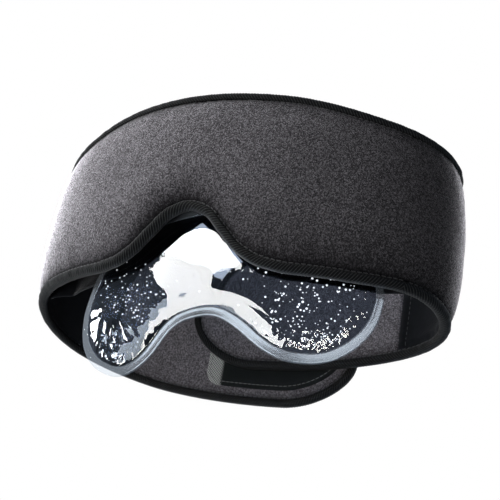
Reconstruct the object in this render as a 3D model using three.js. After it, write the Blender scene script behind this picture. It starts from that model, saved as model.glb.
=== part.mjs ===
// Wrap-around eye pillow: a padded fabric band that closes at the back of the
// head with a hook-and-loop overlap, and a clear gel pack hanging part way out
// of a pocket behind the eye panel. Millimetres, +Z up, the eye panel faces -Y,
// and the origin is the middle of the whole object's box. "Right" is +X and
// "left" is -X, as seen from in front; the wearer's own left is +X.
//
// Places on the band are (s, z, out): s is the signed distance along the band
// from the nose, positive towards +X; z is height; out is the distance outward
// from the middle of the padding.
import * as THREE from "three";

const { clamp, degToRad, lerp, smoothstep } = THREE.MathUtils;

// ---------------------------------------------------------------- dimensions
const LENGTH_RIGHT = 316;        // nose to tip, strap on the +X side
const LENGTH_LEFT = 341;         // nose to tip, strap on the -X side
const TIP_LENGTH = 41;           // length of the rounded strap tip
const HINGE_S = 150;             // fold line at each rear corner
const PEEL_S = 240.6;            // fold line where the outer tail peels off
const HALF_CUT = 0.35;           // half of the gap left at each fold line
const LINING_END_S = 191;        // where the smooth lining meets the strap fabric
const HALF_SEAM = 0.2;           // half of the gap left where they meet

const HALF_FABRIC = 2.2;         // outside of the laminate, from the middle
const FABRIC = 0.7;              // fabric and lining thickness
const LAYER_GAP = 0.05;
const HALF_CORE = HALF_FABRIC - FABRIC - LAYER_GAP;
const EDGE_INSET = 1.05;         // laminate edge, in from the band's outline

const BINDING_IN = 2.4;          // inside of the binding flange
const BINDING_OUT = 2.95;        // outside of the binding flange
const BINDING_WIDTH = 3.9;       // flange width on each face
const BINDING_WEB = 0.55;        // binding thickness over the edge

const TAPE = 1.15;               // hook or loop tape thickness
const TAPE_FACE = HALF_FABRIC + LAYER_GAP; // side of a tape next to the fabric
const TAPE_INSET = 8.5;          // tape edge, in from the band's outline
const TAPE_CORNER = 8;           // corner radius of the blunt end
const HOOK_START_S = 253;        // blunt end of the hook tape
const LOOP_START_S = 212;        // blunt end of the loop tape

// ---------------------------------------------------------------- band shape
// curvature in plan (1/m) at distances from the nose, before each side is
// scaled to turn exactly half way round
const CURVATURE_S = [0, 30, 60, 90, 115, 140, 165, 190, 212, 236, 400];
const CURVATURE_RIGHT = [6.7, 5.05, 4.61, 9.81, 19.24, 29.29, 31.6, 17.16, 3.53, 0, 0];
const CURVATURE_LEFT = [7.41, 6.45, 3.91, 8.82, 18.65, 27.95, 29.83, 16.65, 7.72, 0, 0];
const PLAN_STEP = 0.5;           // integration step along the band
const PLAN_STEPS = 800;

// heights of the top and bottom edges, before the droop is added
const TOP_S = [0, 40, 90, 150, 230, 345];
const TOP_Z = [54.34, 52.84, 46.96, 44.46, 35.05, 18.06];
const BOTTOM_S = [0, 9, 18, 28, 40, 54, 80, 120, 170, 230, 345];
const BOTTOM_Z = [
  -12.69, -15.72, -24.8, -34.66, -40.58, -42.57, -41.72, -37.67, -40.8, -45.14, -29.8,
];

// height added to both edges of each side
const DROOP_S = [0, 60, 190, 310, 400];
const DROOP_RIGHT = [0, 0, -11.74, -23.02, -31.5];
const DROOP_LEFT = [0, 0, -25.74, -43.77, -57.3];

// outward lean of the faces with height, in degrees
const FLARE_S = [0, 120, 212, 400];
const FLARE_DEGREES = [-0.89, 0.48, 0, 0];

// outward bulge at mid height, and the stretch over which it dies away
const FULLNESS = 3.38;
const FULLNESS_FADE = [165, 210];

// monotone cubic curve through the points (xs, ys)
function monotoneCurve(xs, ys) {
  const count = xs.length;
  const widths = [];
  const rises = [];
  const slopes = new Array(count).fill(0);
  for (let i = 0; i < count - 1; i++) {
    widths.push(xs[i + 1] - xs[i]);
    rises.push((ys[i + 1] - ys[i]) / widths[i]);
  }
  for (let i = 1; i < count - 1; i++) {
    if (rises[i - 1] * rises[i] > 0) {
      const before = 2 * widths[i] + widths[i - 1];
      const after = widths[i] + 2 * widths[i - 1];
      slopes[i] = (before + after) / (before / rises[i - 1] + after / rises[i]);
    }
  }
  // slope at an end, from its interval and the next one in
  const endSlope = (end, next) => {
    const width = widths[end];
    const rise = rises[end];
    const slope = ((2 * width + widths[next]) * rise - width * rises[next])
      / (width + widths[next]);
    if (slope * rise <= 0) return 0;
    const overshoots = rise * rises[next] <= 0 && Math.abs(slope) > 3 * Math.abs(rise);
    return overshoots ? 3 * rise : slope;
  };
  slopes[0] = endSlope(0, 1);
  slopes[count - 1] = endSlope(count - 2, count - 3);

  return (x) => {
    let i = 0;
    while (i < count - 2 && x > xs[i + 1]) i++;
    const t = (x - xs[i]) / widths[i];
    const t2 = t * t;
    const t3 = t2 * t;
    return (2 * t3 - 3 * t2 + 1) * ys[i]
      + (t3 - 2 * t2 + t) * widths[i] * slopes[i]
      + (3 * t2 - 2 * t3) * ys[i + 1]
      + (t3 - t2) * widths[i] * slopes[i + 1];
  };
}

const topEdge = monotoneCurve(TOP_S, TOP_Z);
const bottomEdge = monotoneCurve(BOTTOM_S, BOTTOM_Z);
const flare = monotoneCurve(FLARE_S, FLARE_DEGREES);

// one side of the band; its functions take the unsigned distance from the nose
function makeSide(sign, curvatures, droops, length) {
  const curvature = monotoneCurve(CURVATURE_S, curvatures);
  const droop = monotoneCurve(DROOP_S, droops);
  const perMillimetre = 1e-3;
  let headings = [0];
  for (let i = 1; i <= PLAN_STEPS; i++) {
    const mean = (curvature((i - 1) * PLAN_STEP) + curvature(i * PLAN_STEP)) / 2;
    headings.push(headings[i - 1] + mean * PLAN_STEP * perMillimetre);
  }
  // make the straps end exactly parallel to X
  const turnScale = Math.PI / headings[PLAN_STEPS];
  headings = headings.map((heading) => heading * turnScale);

  const xs = [0];
  const ys = [0];
  for (let i = 1; i <= PLAN_STEPS; i++) {
    const before = headings[i - 1];
    const after = headings[i];
    xs.push(xs[i - 1] + (Math.cos(before) + Math.cos(after)) / 2 * PLAN_STEP);
    ys.push(ys[i - 1] + (Math.sin(before) + Math.sin(after)) / 2 * PLAN_STEP);
  }
  const sample = (values, s) => {
    const i = Math.floor(s / PLAN_STEP);
    return lerp(values[i], values[i + 1], s / PLAN_STEP - i);
  };
  return {
    sign,
    tipStart: length - TIP_LENGTH,
    // x and y of the middle of the padding, then of its outward normal
    plan: (s) => {
      const heading = sample(headings, s);
      return [
        sign * sample(xs, s), sample(ys, s), sign * Math.sin(heading), -Math.cos(heading),
      ];
    },
    top: (s) => topEdge(s) + droop(s),
    bottom: (s) => bottomEdge(s) + droop(s),
  };
}

const RIGHT = makeSide(1, CURVATURE_RIGHT, DROOP_RIGHT, LENGTH_RIGHT);
const LEFT = makeSide(-1, CURVATURE_LEFT, DROOP_LEFT, LENGTH_LEFT);
const sideOf = (s) => (s >= 0 ? RIGHT : LEFT);
const top = (s) => sideOf(s).top(Math.abs(s));
const bottom = (s) => sideOf(s).bottom(Math.abs(s));

// a point on an upright sheet parallel to the band
function onUpright(s, z, out) {
  const [x, y, normalX, normalY] = sideOf(s).plan(Math.abs(s));
  return [x + normalX * out, y + normalY * out, z];
}

// a point on the band's padded shape
function onBand(s, z, out) {
  const distance = Math.abs(s);
  const down = clamp((top(s) - z) / (top(s) - bottom(s)), 0, 1);
  const fade = 1 - smoothstep(distance, ...FULLNESS_FADE);
  const bulge = FULLNESS * fade * (1 - (2 * down - 1) ** 2);
  return onUpright(s, z, out + bulge + z * Math.tan(degToRad(flare(distance))));
}

// ---------------------------------------------------------------- materials
const HEATHER = 0x46434a;
const BLACK = 0x161518;
const FINISHES = {
  heather: { color: HEATHER, roughness: 0.9 },
  smoothHeather: { color: HEATHER, roughness: 0.6 },
  foam: { color: 0x3a3a3d, roughness: 0.95 },
  satin: { color: 0x1c1b1f, roughness: 0.6 },
  binding: { color: BLACK, roughness: 0.75 },
  hook: { color: 0x232425, roughness: 0.85 },
  loop: { color: BLACK, roughness: 0.85 },
  film: { color: 0xdfe8ee, roughness: 0.05, opacity: 0.4, transparent: true },
  gel: { color: 0xc9d6de, roughness: 0.05, opacity: 0.4, transparent: true },
};

const makeMaterial = (finish) =>
  new THREE.MeshStandardMaterial({ metalness: 0, ...FINISHES[finish] });

// ---------------------------------------------------------------- mesh helpers
// a closed mesh, turned the right way out by the sign of its volume
function closedMesh(name, finish, points, faces) {
  const corners = points.map((point) => new THREE.Vector3(...point));
  const cross = new THREE.Vector3();
  let volume = 0;
  for (const [a, b, c] of faces) {
    volume += corners[a].dot(cross.crossVectors(corners[b], corners[c]));
  }
  const outward = faces.flatMap(([a, b, c]) => (volume > 0 ? [a, b, c] : [a, c, b]));
  const geometry = new THREE.BufferGeometry();
  const positions = new Float32Array(points.flat());
  geometry.setAttribute("position", new THREE.BufferAttribute(positions, 3));
  geometry.setIndex(outward);
  geometry.computeVertexNormals();
  const mesh = new THREE.Mesh(geometry, makeMaterial(finish));
  mesh.name = name;
  return mesh;
}

const quad = (a, b, c, d) => [[a, b, c], [a, c, d]];

// two facing grids of points, joined round their border
function slab(name, finish, outer, inner) {
  const rows = outer.length;
  const columns = outer[0].length;
  const lastRow = rows - 1;
  const lastColumn = columns - 1;
  const A = (i, j) => i * columns + j;
  const B = (i, j) => rows * columns + A(i, j);
  const faces = [];
  for (let i = 0; i < lastRow; i++) {
    for (let j = 0; j < lastColumn; j++) {
      faces.push(...quad(A(i, j), A(i + 1, j), A(i + 1, j + 1), A(i, j + 1)));
      faces.push(...quad(B(i, j), B(i, j + 1), B(i + 1, j + 1), B(i + 1, j)));
    }
  }
  for (let i = 0; i < lastRow; i++) {
    const j = lastColumn;
    faces.push(...quad(A(i, 0), B(i, 0), B(i + 1, 0), A(i + 1, 0)));
    faces.push(...quad(A(i, j), A(i + 1, j), B(i + 1, j), B(i, j)));
  }
  for (let j = 0; j < lastColumn; j++) {
    const i = lastRow;
    faces.push(...quad(A(0, j), A(0, j + 1), B(0, j + 1), B(0, j)));
    faces.push(...quad(A(i, j), B(i, j), B(i, j + 1), A(i, j + 1)));
  }
  return closedMesh(name, finish, [...outer.flat(), ...inner.flat()], faces);
}

// ---------------------------------------------------------------- stations
// distances along the band at which the pieces have a column of points
const HALF_FRONT_S = [
  0, 6, 12, 18, 25, 32, 41, 54, 70, 86, 98, 108, 118, 128, 138, HINGE_S - HALF_CUT,
];
const FRONT_S = [...HALF_FRONT_S.slice(1).reverse().map((s) => -s), ...HALF_FRONT_S];
const STRAP_S = [HINGE_S + HALF_CUT, 158, 166, 174, 182, LINING_END_S, 201, 212];
const LEFT_S = [...STRAP_S, 225, PEEL_S - HALF_CUT].map((s) => -s);
const TAIL_BODY_S = [PEEL_S + HALF_CUT, 263, 286];
const RIGHT_BODY_S = [...STRAP_S, 228, 248];
const TIP_DEGREES = [0, 22, 42, 58, 72, 84]; // round a quarter of the tip

const tipStations = (side, inset) => TIP_DEGREES.map(
  (degrees) => side.tipStart + (TIP_LENGTH - inset) * Math.sin(degToRad(degrees)),
);

// ---------------------------------------------------------------- laminate
const LAYER_ROWS = [0, 0.045, 0.25, 0.5, 0.75, 0.955, 1]; // fractions, top to bottom
const TIP_INSET_FACTOR = 1.06;   // extra inset in height at a tip

// vertical distance that gives an inset square to a sloping edge
function slopeInset(edge, s, inset) {
  const slope = edge(s + 0.5) - edge(s - 0.5);
  return inset * Math.sqrt(1 + slope * slope);
}

// upper and lower limits of a layer at s, rounded off towards a strap tip
function limits(s, inset) {
  const intoTip = Math.abs(s) - sideOf(s).tipStart;
  const high = top(s);
  const low = bottom(s);
  if (intoTip <= 0) {
    return [high - slopeInset(top, s, inset), low + slopeInset(bottom, s, inset)];
  }
  const along = intoTip / (TIP_LENGTH - inset);
  const middle = (high + low) / 2;
  const full = (high - low) / 2 - inset * TIP_INSET_FACTOR;
  const half = full * Math.sqrt(1 - along * along);
  return [middle + half, middle - half];
}

function layer(name, finish, stations, outside, inside) {
  const grid = (out) => stations.map((s) => {
    const [high, low] = limits(s, EDGE_INSET);
    return LAYER_ROWS.map((row) => onBand(s, high + (low - high) * row, out));
  });
  return slab(name, finish, grid(outside), grid(inside));
}

const outerLayers = (part, stations) => [
  layer(`outer_fabric_${part}`, "heather", stations, HALF_FABRIC, HALF_FABRIC - FABRIC),
  layer(`foam_core_${part}`, "foam", stations, HALF_CORE, -HALF_CORE),
];

const innerLayer = (name, finish, stations) =>
  layer(name, finish, stations, FABRIC - HALF_FABRIC, -HALF_FABRIC);

// smooth lining from the rear corner, then strap fabric
function strapInnerLayers(part, side, stations) {
  const seam = stations.indexOf(side.sign * LINING_END_S);
  const liningEnd = side.sign * (LINING_END_S - HALF_SEAM);
  const fabricStart = side.sign * (LINING_END_S + HALF_SEAM);
  const lining = [...stations.slice(0, seam), liningEnd];
  const fabric = [fabricStart, ...stations.slice(seam + 1)];
  return [
    innerLayer(`lining_${part}`, "satin", lining),
    innerLayer(`inner_fabric_${part}`, "heather", fabric),
  ];
}

// ---------------------------------------------------------------- binding
// U-shaped profile: (depth in from the outline, out). It runs clockwise.
const CHANNEL = [
  [0, BINDING_OUT], [BINDING_WIDTH, BINDING_OUT],
  [BINDING_WIDTH, BINDING_IN], [BINDING_WEB, BINDING_IN],
  [BINDING_WEB, -BINDING_IN], [BINDING_WIDTH, -BINDING_IN],
  [BINDING_WIDTH, -BINDING_OUT], [0, -BINDING_OUT],
];
// end cap triangles, counter-clockwise
const CHANNEL_CAP = THREE.ShapeUtils.triangulateShape(
  CHANNEL.map(([depth, out]) => new THREE.Vector2(depth, out)), [],
);
const TIP_BINDING_STEP = 15;     // degrees
const LAMINATE_ON_LEFT = 1;      // side of the path, with s to the right and z up
const LAMINATE_ON_RIGHT = -1;

// the channel carried along a path of [s, z] points on the outline
function binding(name, path, inward) {
  const rings = path.map(([s, z], i) => {
    const [s0, z0] = path[Math.max(i - 1, 0)];
    const [s1, z1] = path[Math.min(i + 1, path.length - 1)];
    const length = Math.hypot(s1 - s0, z1 - z0);
    const inwardS = -(z1 - z0) / length * inward;
    const inwardZ = (s1 - s0) / length * inward;
    return CHANNEL.map(([depth, out]) => onBand(s + inwardS * depth, z + inwardZ * depth, out));
  });
  const size = CHANNEL.length;
  const last = (rings.length - 1) * size;
  const faces = [];
  for (let start = 0; start < last; start += size) {
    for (let j = 0; j < size; j++) {
      const here = start + j;
      const next = start + (j + 1) % size;
      faces.push(...quad(here, next, next + size, here + size));
    }
  }
  for (const [a, b, c] of CHANNEL_CAP) {
    faces.push([a, b, c], [last + a, last + c, last + b]);
  }
  return closedMesh(name, "binding", rings.flat(), faces);
}

const topPath = (stations) => stations.map((s) => [s, top(s)]);
const bottomPath = (stations) => stations.map((s) => [s, bottom(s)]);

// along the top edge, round the tip and back along the bottom edge
function strapEndPath(side, bodyStations) {
  const body = bodyStations.map((s) => side.sign * s);
  const tip = [];
  for (let degrees = 0; degrees <= 180; degrees += TIP_BINDING_STEP) {
    const angle = degToRad(degrees);
    const s = side.tipStart + TIP_LENGTH * Math.sin(angle);
    const high = side.top(s);
    const low = side.bottom(s);
    tip.push([side.sign * s, (high + low) / 2 + (high - low) / 2 * Math.cos(angle)]);
  }
  return [...topPath(body), ...tip, ...bottomPath(body.reverse())];
}

// ---------------------------------------------------------------- band parts
// eye panel and temples
const frontPanel = () => [
  ...outerLayers("front", FRONT_S),
  innerLayer("lining_front", "satin", FRONT_S),
  binding("binding_top_front", topPath(FRONT_S), LAMINATE_ON_RIGHT),
  binding("binding_bottom_front", bottomPath(FRONT_S), LAMINATE_ON_LEFT),
];

// outer strap, -X side, up to the peel line
const leftStrap = () => [
  ...outerLayers("left", LEFT_S),
  ...strapInnerLayers("left", LEFT, LEFT_S),
  binding("binding_top_left", topPath(LEFT_S), LAMINATE_ON_LEFT),
  binding("binding_bottom_left", bottomPath(LEFT_S), LAMINATE_ON_RIGHT),
];

// tape with rounded corners at its blunt end, the other end following the tip
function tape(name, finish, side, start, bodyStations, outside, inside) {
  const stations = [
    start, start + 2.3, start + TAPE_CORNER, ...bodyStations, ...tipStations(side, TAPE_INSET),
  ];
  const grid = (out) => stations.map((distance) => {
    const s = side.sign * distance;
    const [high, low] = limits(s, TAPE_INSET);
    const toArcEnd = Math.max(TAPE_CORNER - (distance - start), 0);
    const cut = TAPE_CORNER - Math.sqrt(TAPE_CORNER ** 2 - toArcEnd ** 2);
    const height = low - high + 2 * cut;
    return [0, 0.5, 1].map((row) => onBand(s, high - cut + height * row, out));
  });
  return slab(name, finish, grid(outside), grid(inside));
}

// outer tail, -X side, with the hook tape on its inner face
function leftTail() {
  const stations = [...TAIL_BODY_S, ...tipStations(LEFT, EDGE_INSET)].map((s) => -s);
  return [
    ...outerLayers("left_tail", stations),
    innerLayer("inner_fabric_left_tail", "smoothHeather", stations),
    binding("binding_left_tail", strapEndPath(LEFT, TAIL_BODY_S), LAMINATE_ON_LEFT),
    tape("hook_tape", "hook", LEFT, HOOK_START_S, [280], -TAPE_FACE, -TAPE_FACE - TAPE),
  ];
}

// inner strap, +X side, with the loop tape on its outer face
function rightStrap() {
  const stations = [...RIGHT_BODY_S, ...tipStations(RIGHT, EDGE_INSET)];
  return [
    ...outerLayers("right", stations),
    ...strapInnerLayers("right", RIGHT, stations),
    binding("binding_right", strapEndPath(RIGHT, RIGHT_BODY_S), LAMINATE_ON_RIGHT),
    tape("loop_tape", "loop", RIGHT, LOOP_START_S, [230, 250], TAPE_FACE + TAPE, TAPE_FACE),
  ];
}

// ---------------------------------------------------------------- pocket
const POCKET_HALF = 118;         // pocket side seams
const POCKET_DEPTH = 14.25;      // pocket panel, inward from the middle
const POCKET_SHEET = 0.6;
const POCKET_TOP_INSET = 7;      // top seam, below the band's top edge
const POCKET_BOTTOM_INSET = 2.4; // lower edge, above the band's bottom edge
const POCKET_SEAM_GAP = 0.35;    // clearance to the lining at the seams
const POCKET_SIDE_BLEND = 17;    // distance from a side seam to full depth
const POCKET_TOP_BLEND = 15;     // distance from the top seam to full depth
// the panel rides up over the bottom binding: how far in, the height above the
// bottom edge where it starts, and the height it takes
const POCKET_RIDE = { rise: 1, start: 9, blend: 4 };
const POCKET_TOP_ROWS = [0, 5, 10, 16]; // rows below the top seam

const pocketTop = (s) => top(s) - POCKET_TOP_INSET;

function pocketPoint(s, z, depth) {
  const open = smoothstep(POCKET_HALF - Math.abs(s), 0, POCKET_SIDE_BLEND)
    * smoothstep(pocketTop(s) - z, 0, POCKET_TOP_BLEND);
  const ride = POCKET_RIDE.rise
    * smoothstep(bottom(s) + POCKET_RIDE.start - z, 0, POCKET_RIDE.blend);
  const sewn = onBand(s, z, -HALF_FABRIC - POCKET_SEAM_GAP - ride - depth);
  const hanging = onUpright(s, z, -POCKET_DEPTH - depth);
  return sewn.map((value, i) => value + (hanging[i] - value) * open);
}

// sewn along its top and sides, and standing clear of the band at the bottom
function pocketPanel() {
  const stations = FRONT_S.filter((s) => Math.abs(s) <= POCKET_HALF);
  const grid = (depth) => stations.map((s) => {
    const heights = POCKET_TOP_ROWS.map((drop) => pocketTop(s) - drop);
    const lastRow = heights.at(-1);
    const low = bottom(s) + POCKET_BOTTOM_INSET;
    heights.push((lastRow + low) / 2, low);
    return heights.map((z) => pocketPoint(s, z, depth));
  });
  return slab("pocket_panel", "satin", grid(0), grid(POCKET_SHEET));
}

// ---------------------------------------------------------------- gel pack
const PACK_OUT = -8.6;           // middle of the gel pack
const PACK_CENTRE = { s: 18, z: -59 };
const PACK_TILT = degToRad(7);
const PACK_HALF = 3.5;           // gel half thickness in the lobes
const PACK_RIM = 4.6;            // welded rim width
const PACK_SHOULDER = 20;        // distance from the rim to full thickness
const FILM = 0.35;
const FILM_START = 0.15;         // inside of each film, beyond the gel half thickness
const FILL_SWELL = 0.07;         // fill surface, beyond the gel half thickness

// outline of the two-lobed pack, (u, v) in its own frame, u towards +X and v
// up before the tilt; both edges run from the -u end to the +u end
const PACK_TOP = [
  [-84, 2], [-84.4, 8], [-82.5, 17], [-79, 26], [-72.5, 35], [-61, 43], [-45, 49.5],
  [-25, 53], [0, 54], [25, 53.6], [46, 50.5], [63, 44], [75.5, 34.5], [83, 23],
  [86.3, 12.4], [87.1, 5], [86.2, 0],
];
const PACK_BOTTOM = [
  [-84, 2], [-83, -3.5], [-79.2, -12.3], [-70.6, -22], [-59.5, -28.5], [-48.9, -31.2],
  [-39.6, -29], [-31.3, -23.2], [-26.3, -17], [-21.4, -11.2], [-16.3, -7.8], [-10.9, -6.1],
  [-5.6, -5.3], [-0.3, -5.3], [4.7, -6.8], [10.1, -10], [15.5, -14], [20.2, -18.2],
  [25.5, -22.2], [30.4, -25.1], [35.1, -27.2], [39.9, -28.4], [44.7, -28.9], [51.8, -29],
  [59, -27.6], [63.5, -25.7], [68.8, -22.8], [74.2, -18.8], [79.4, -13.6], [83.6, -7.3],
  [86.2, 0],
];
const PACK_OUTLINE = [...PACK_TOP, ...PACK_BOTTOM.slice(1, -1).reverse()];

// grid columns, and rows as fractions from the bottom edge to the top
const PACK_U = [
  -83.9, -81, -75, -67, -58, -48, -38, -30, -23, -15, -5,
  5, 14, 24, 35, 48, 60, 70, 78, 84, 86.1,
];
const PACK_LOWER_ROWS = [0, 0.13, 0.26, 0.55, 1].map((row) => row / 2);
const PACK_ROWS = [
  ...PACK_LOWER_ROWS,
  ...PACK_LOWER_ROWS.slice(0, -1).reverse().map((row) => 1 - row),
];

function edgeDistance(u, v) {
  const distances = PACK_OUTLINE.map(([u0, v0], i) => {
    const [u1, v1] = PACK_OUTLINE[(i + 1) % PACK_OUTLINE.length];
    const du = u1 - u0;
    const dv = v1 - v0;
    const t = clamp(((u - u0) * du + (v - v0) * dv) / (du * du + dv * dv), 0, 1);
    return Math.hypot(u - u0 - t * du, v - v0 - t * dv);
  });
  return Math.min(...distances);
}

// v of an edge at u
function edgeAt(edge, u) {
  const i = edge.findIndex(([u0], n) => u >= u0 && u <= edge[n + 1][0]);
  const [u0, v0] = edge[i];
  const [u1, v1] = edge[i + 1];
  return v0 + (v1 - v0) * (u - u0) / (u1 - u0);
}

function gelHalfThickness(u, v) {
  const t = clamp((edgeDistance(u, v) - PACK_RIM) / PACK_SHOULDER, 0, 1);
  return PACK_HALF * Math.sqrt(1 - (1 - t) ** 2);
}

function packPoint(u, v, out) {
  const cos = Math.cos(PACK_TILT);
  const sin = Math.sin(PACK_TILT);
  const s = PACK_CENTRE.s + u * cos - v * sin;
  const z = PACK_CENTRE.z + u * sin + v * cos;
  return onUpright(s, z, PACK_OUT + out);
}

// one surface of the pack: face is 1 for front or -1 for back, beyond is its
// distance past the gel half thickness, trim is the border rows left off
function packGrid(face, beyond, trim = 0) {
  const inner = (list) => list.slice(trim, list.length - trim);
  return inner(PACK_U).map((u) => {
    const high = edgeAt(PACK_TOP, u);
    const low = edgeAt(PACK_BOTTOM, u);
    return inner(PACK_ROWS).map((row) => {
      const v = low + (high - low) * row;
      return packPoint(u, v, face * (gelHalfThickness(u, v) + beyond));
    });
  });
}

function gelPack() {
  const filmEnd = FILM_START + FILM;
  return [
    slab("gel_film_front", "film", packGrid(1, filmEnd), packGrid(1, FILM_START)),
    slab("gel_film_back", "film", packGrid(-1, FILM_START), packGrid(-1, filmEnd)),
    slab("gel_fill", "gel", packGrid(1, FILL_SWELL, 1), packGrid(-1, FILL_SWELL, 1)),
  ];
}

// ---------------------------------------------------------------- assembly
const group = new THREE.Group();
group.add(
  ...frontPanel(),
  ...leftStrap(),
  ...leftTail(),
  ...rightStrap(),
  pocketPanel(),
  ...gelPack(),
);

const middle = new THREE.Box3().setFromObject(group).getCenter(new THREE.Vector3());
group.position.copy(middle).negate();
group.updateMatrixWorld(true);

export default group;
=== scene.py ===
# Wrap-around eye pillow: padded knit band, twill binding, hook-and-loop
# closure, and a clear gel pack drawn half out of its pocket.
#
# The front of the band faces -Y, +X is its right end and +Z is up; both straps
# curve round to +Y. Shapes are worked out in millimetres on the unrolled band:
#   along   length along the band from the middle of the front, + to the right
#   z       height
#   offset  distance outwards from the middle of the cloth, - is inside the wrap
import math

import bmesh
import bpy
import numpy as np
from mathutils import Matrix, Vector
from mathutils.geometry import delaunay_2d_cdt
from mathutils.kdtree import KDTree


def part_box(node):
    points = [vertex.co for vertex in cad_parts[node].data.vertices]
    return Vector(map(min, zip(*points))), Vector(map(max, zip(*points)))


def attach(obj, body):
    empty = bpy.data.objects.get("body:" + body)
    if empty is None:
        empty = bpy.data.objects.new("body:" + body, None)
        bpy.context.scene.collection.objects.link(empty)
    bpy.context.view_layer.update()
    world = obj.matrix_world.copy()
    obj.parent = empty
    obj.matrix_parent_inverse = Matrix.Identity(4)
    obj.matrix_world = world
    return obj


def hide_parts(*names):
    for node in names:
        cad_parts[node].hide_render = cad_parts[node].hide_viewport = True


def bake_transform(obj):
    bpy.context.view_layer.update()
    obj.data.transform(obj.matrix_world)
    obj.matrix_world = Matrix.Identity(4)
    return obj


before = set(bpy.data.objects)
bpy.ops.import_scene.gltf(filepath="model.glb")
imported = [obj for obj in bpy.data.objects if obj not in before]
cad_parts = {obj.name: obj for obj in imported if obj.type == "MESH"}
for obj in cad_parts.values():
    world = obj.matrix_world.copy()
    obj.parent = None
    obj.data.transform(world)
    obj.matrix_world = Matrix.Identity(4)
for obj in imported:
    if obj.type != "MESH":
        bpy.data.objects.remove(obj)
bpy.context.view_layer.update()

MM = 0.001
LEFT, RIGHT = -1, 1
OUTSIDE, INSIDE = 1, -1

# ---------------------------------------------------------------- band dimensions
STRAP_LENGTH = {RIGHT: 316.0, LEFT: 341.0}   # middle of the front to the strap's tip
TIP_LENGTH = 41.0                            # the rounded end of each strap
FRONT_END = 108.0                            # where the front pieces meet the side pieces
TAIL_START = 214.0                           # where the left tail pieces begin
LINING_END = 191.0                           # side seam between lining and inner knit
LINING_LAP = 0.05
FULLNESS = 3.38                              # outward belly of the front at mid height
SHEET_THICKNESS = 0.7
BINDING_REACH = 3.9                          # how far the binding covers the cloth
BINDING_STEP = 0.33
RIB_PITCH, RIB_SLANT, RIB_HEIGHT = 1.6, 0.75, 0.24
OUTLINE_STEP = 0.4
PLAN_STEP = 0.5

# Stations along the band, then the values there.
# Curvature in plan, in radians per metre before it is scaled to a half turn.
CURVATURE_AT = [0, 30, 60, 90, 115, 140, 165, 190, 212, 236, 400]
CURVATURE = {
    RIGHT: [6.7, 5.05, 4.61, 9.81, 19.24, 29.29, 31.6, 17.16, 3.53, 0, 0],
    LEFT: [7.41, 6.45, 3.91, 8.82, 18.65, 27.95, 29.83, 16.65, 7.72, 0, 0],
}
# Heights of the upper and lower edges, before the droop.
TOP_AT = [0, 40, 90, 150, 230, 345]
TOP_Z = [54.34, 52.84, 46.96, 44.46, 35.05, 18.06]
BOTTOM_AT = [0, 9, 18, 28, 40, 54, 80, 120, 170, 230, 345]
BOTTOM_Z = [-12.69, -15.72, -24.8, -34.66, -40.58, -42.57, -41.72, -37.67, -40.8, -45.14, -29.8]
# Sinking of each strap towards its tip.
DROOP_AT = [0, 60, 190, 310, 400]
DROOP_Z = {RIGHT: [0, 0, -11.74, -23.02, -31.5], LEFT: [0, 0, -25.74, -43.77, -57.3]}
# Outward lean of the band, in degrees.
FLARE_AT, FLARE = [0, 120, 212, 400], [-0.89, 0.48, 0, 0]


# ---------------------------------------------------------------- curves
def pchip(stations, values):
    """Monotone cubic curve through the stations, held level beyond the ends."""
    xs, ys = np.array(stations, float), np.array(values, float)
    step = np.diff(xs)
    rise = np.diff(ys) / step
    slope = np.zeros(len(xs))
    for i in range(1, len(xs) - 1):
        if rise[i - 1] * rise[i] > 0:
            before, after = 2 * step[i] + step[i - 1], step[i] + 2 * step[i - 1]
            slope[i] = (before + after) / (before / rise[i - 1] + after / rise[i])

    def end_slope(step0, step1, rise0, rise1):
        value = ((2 * step0 + step1) * rise0 - step0 * rise1) / (step0 + step1)
        if value * rise0 <= 0:
            return 0.0
        if rise0 * rise1 <= 0 and abs(value) > 3 * abs(rise0):
            return 3 * rise0
        return value
    slope[0] = end_slope(step[0], step[1], rise[0], rise[1])
    slope[-1] = end_slope(step[-1], step[-2], rise[-1], rise[-2])

    def curve(x):
        x = np.clip(np.asarray(x, float), xs[0], xs[-1])
        i = np.clip(np.searchsorted(xs, x, side="left") - 1, 0, len(step) - 1)
        t = (x - xs[i]) / step[i]
        t2, t3 = t * t, t * t * t
        return ((2 * t3 - 3 * t2 + 1) * ys[i] + (t3 - 2 * t2 + t) * step[i] * slope[i]
                + (3 * t2 - 2 * t3) * ys[i + 1] + (t3 - t2) * step[i] * slope[i + 1])
    return curve


def ease(x, start=0.0, over=1.0):
    """Smooth step from 0 at start to 1 at start + over."""
    t = np.clip((x - start) / over, 0, 1)
    return t * t * (3 - 2 * t)


def bell(x, at, width):
    return np.exp(-((x - at) / width) ** 2)


def settle(x, over):
    """0 up to x = 0, then levelling off towards 1."""
    return 1.0 - np.exp(-np.maximum(x, 0) / over)


def running_length(steps_x, steps_y):
    return np.concatenate([[0], np.cumsum(np.hypot(steps_x, steps_y))])


def point_tree(points):
    tree = KDTree(len(points))
    for i, (x, y) in enumerate(points):
        tree.insert((x, y, 0), i)
    tree.balance()
    return tree


# ---------------------------------------------------------------- band shape
PLAN_AT = np.arange(0, 400.01, PLAN_STEP)


def integrate(values, step):
    return np.concatenate([[0], np.cumsum((values[1:] + values[:-1]) / 2 * step)])


def plan_curve(side):
    """x, y and heading of one half of the band, which makes a half turn."""
    heading = integrate(pchip(CURVATURE_AT, CURVATURE[side])(PLAN_AT), PLAN_STEP * MM)
    heading *= math.pi / heading[-1]
    return (integrate(np.cos(heading), PLAN_STEP), integrate(np.sin(heading), PLAN_STEP),
            heading)


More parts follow.
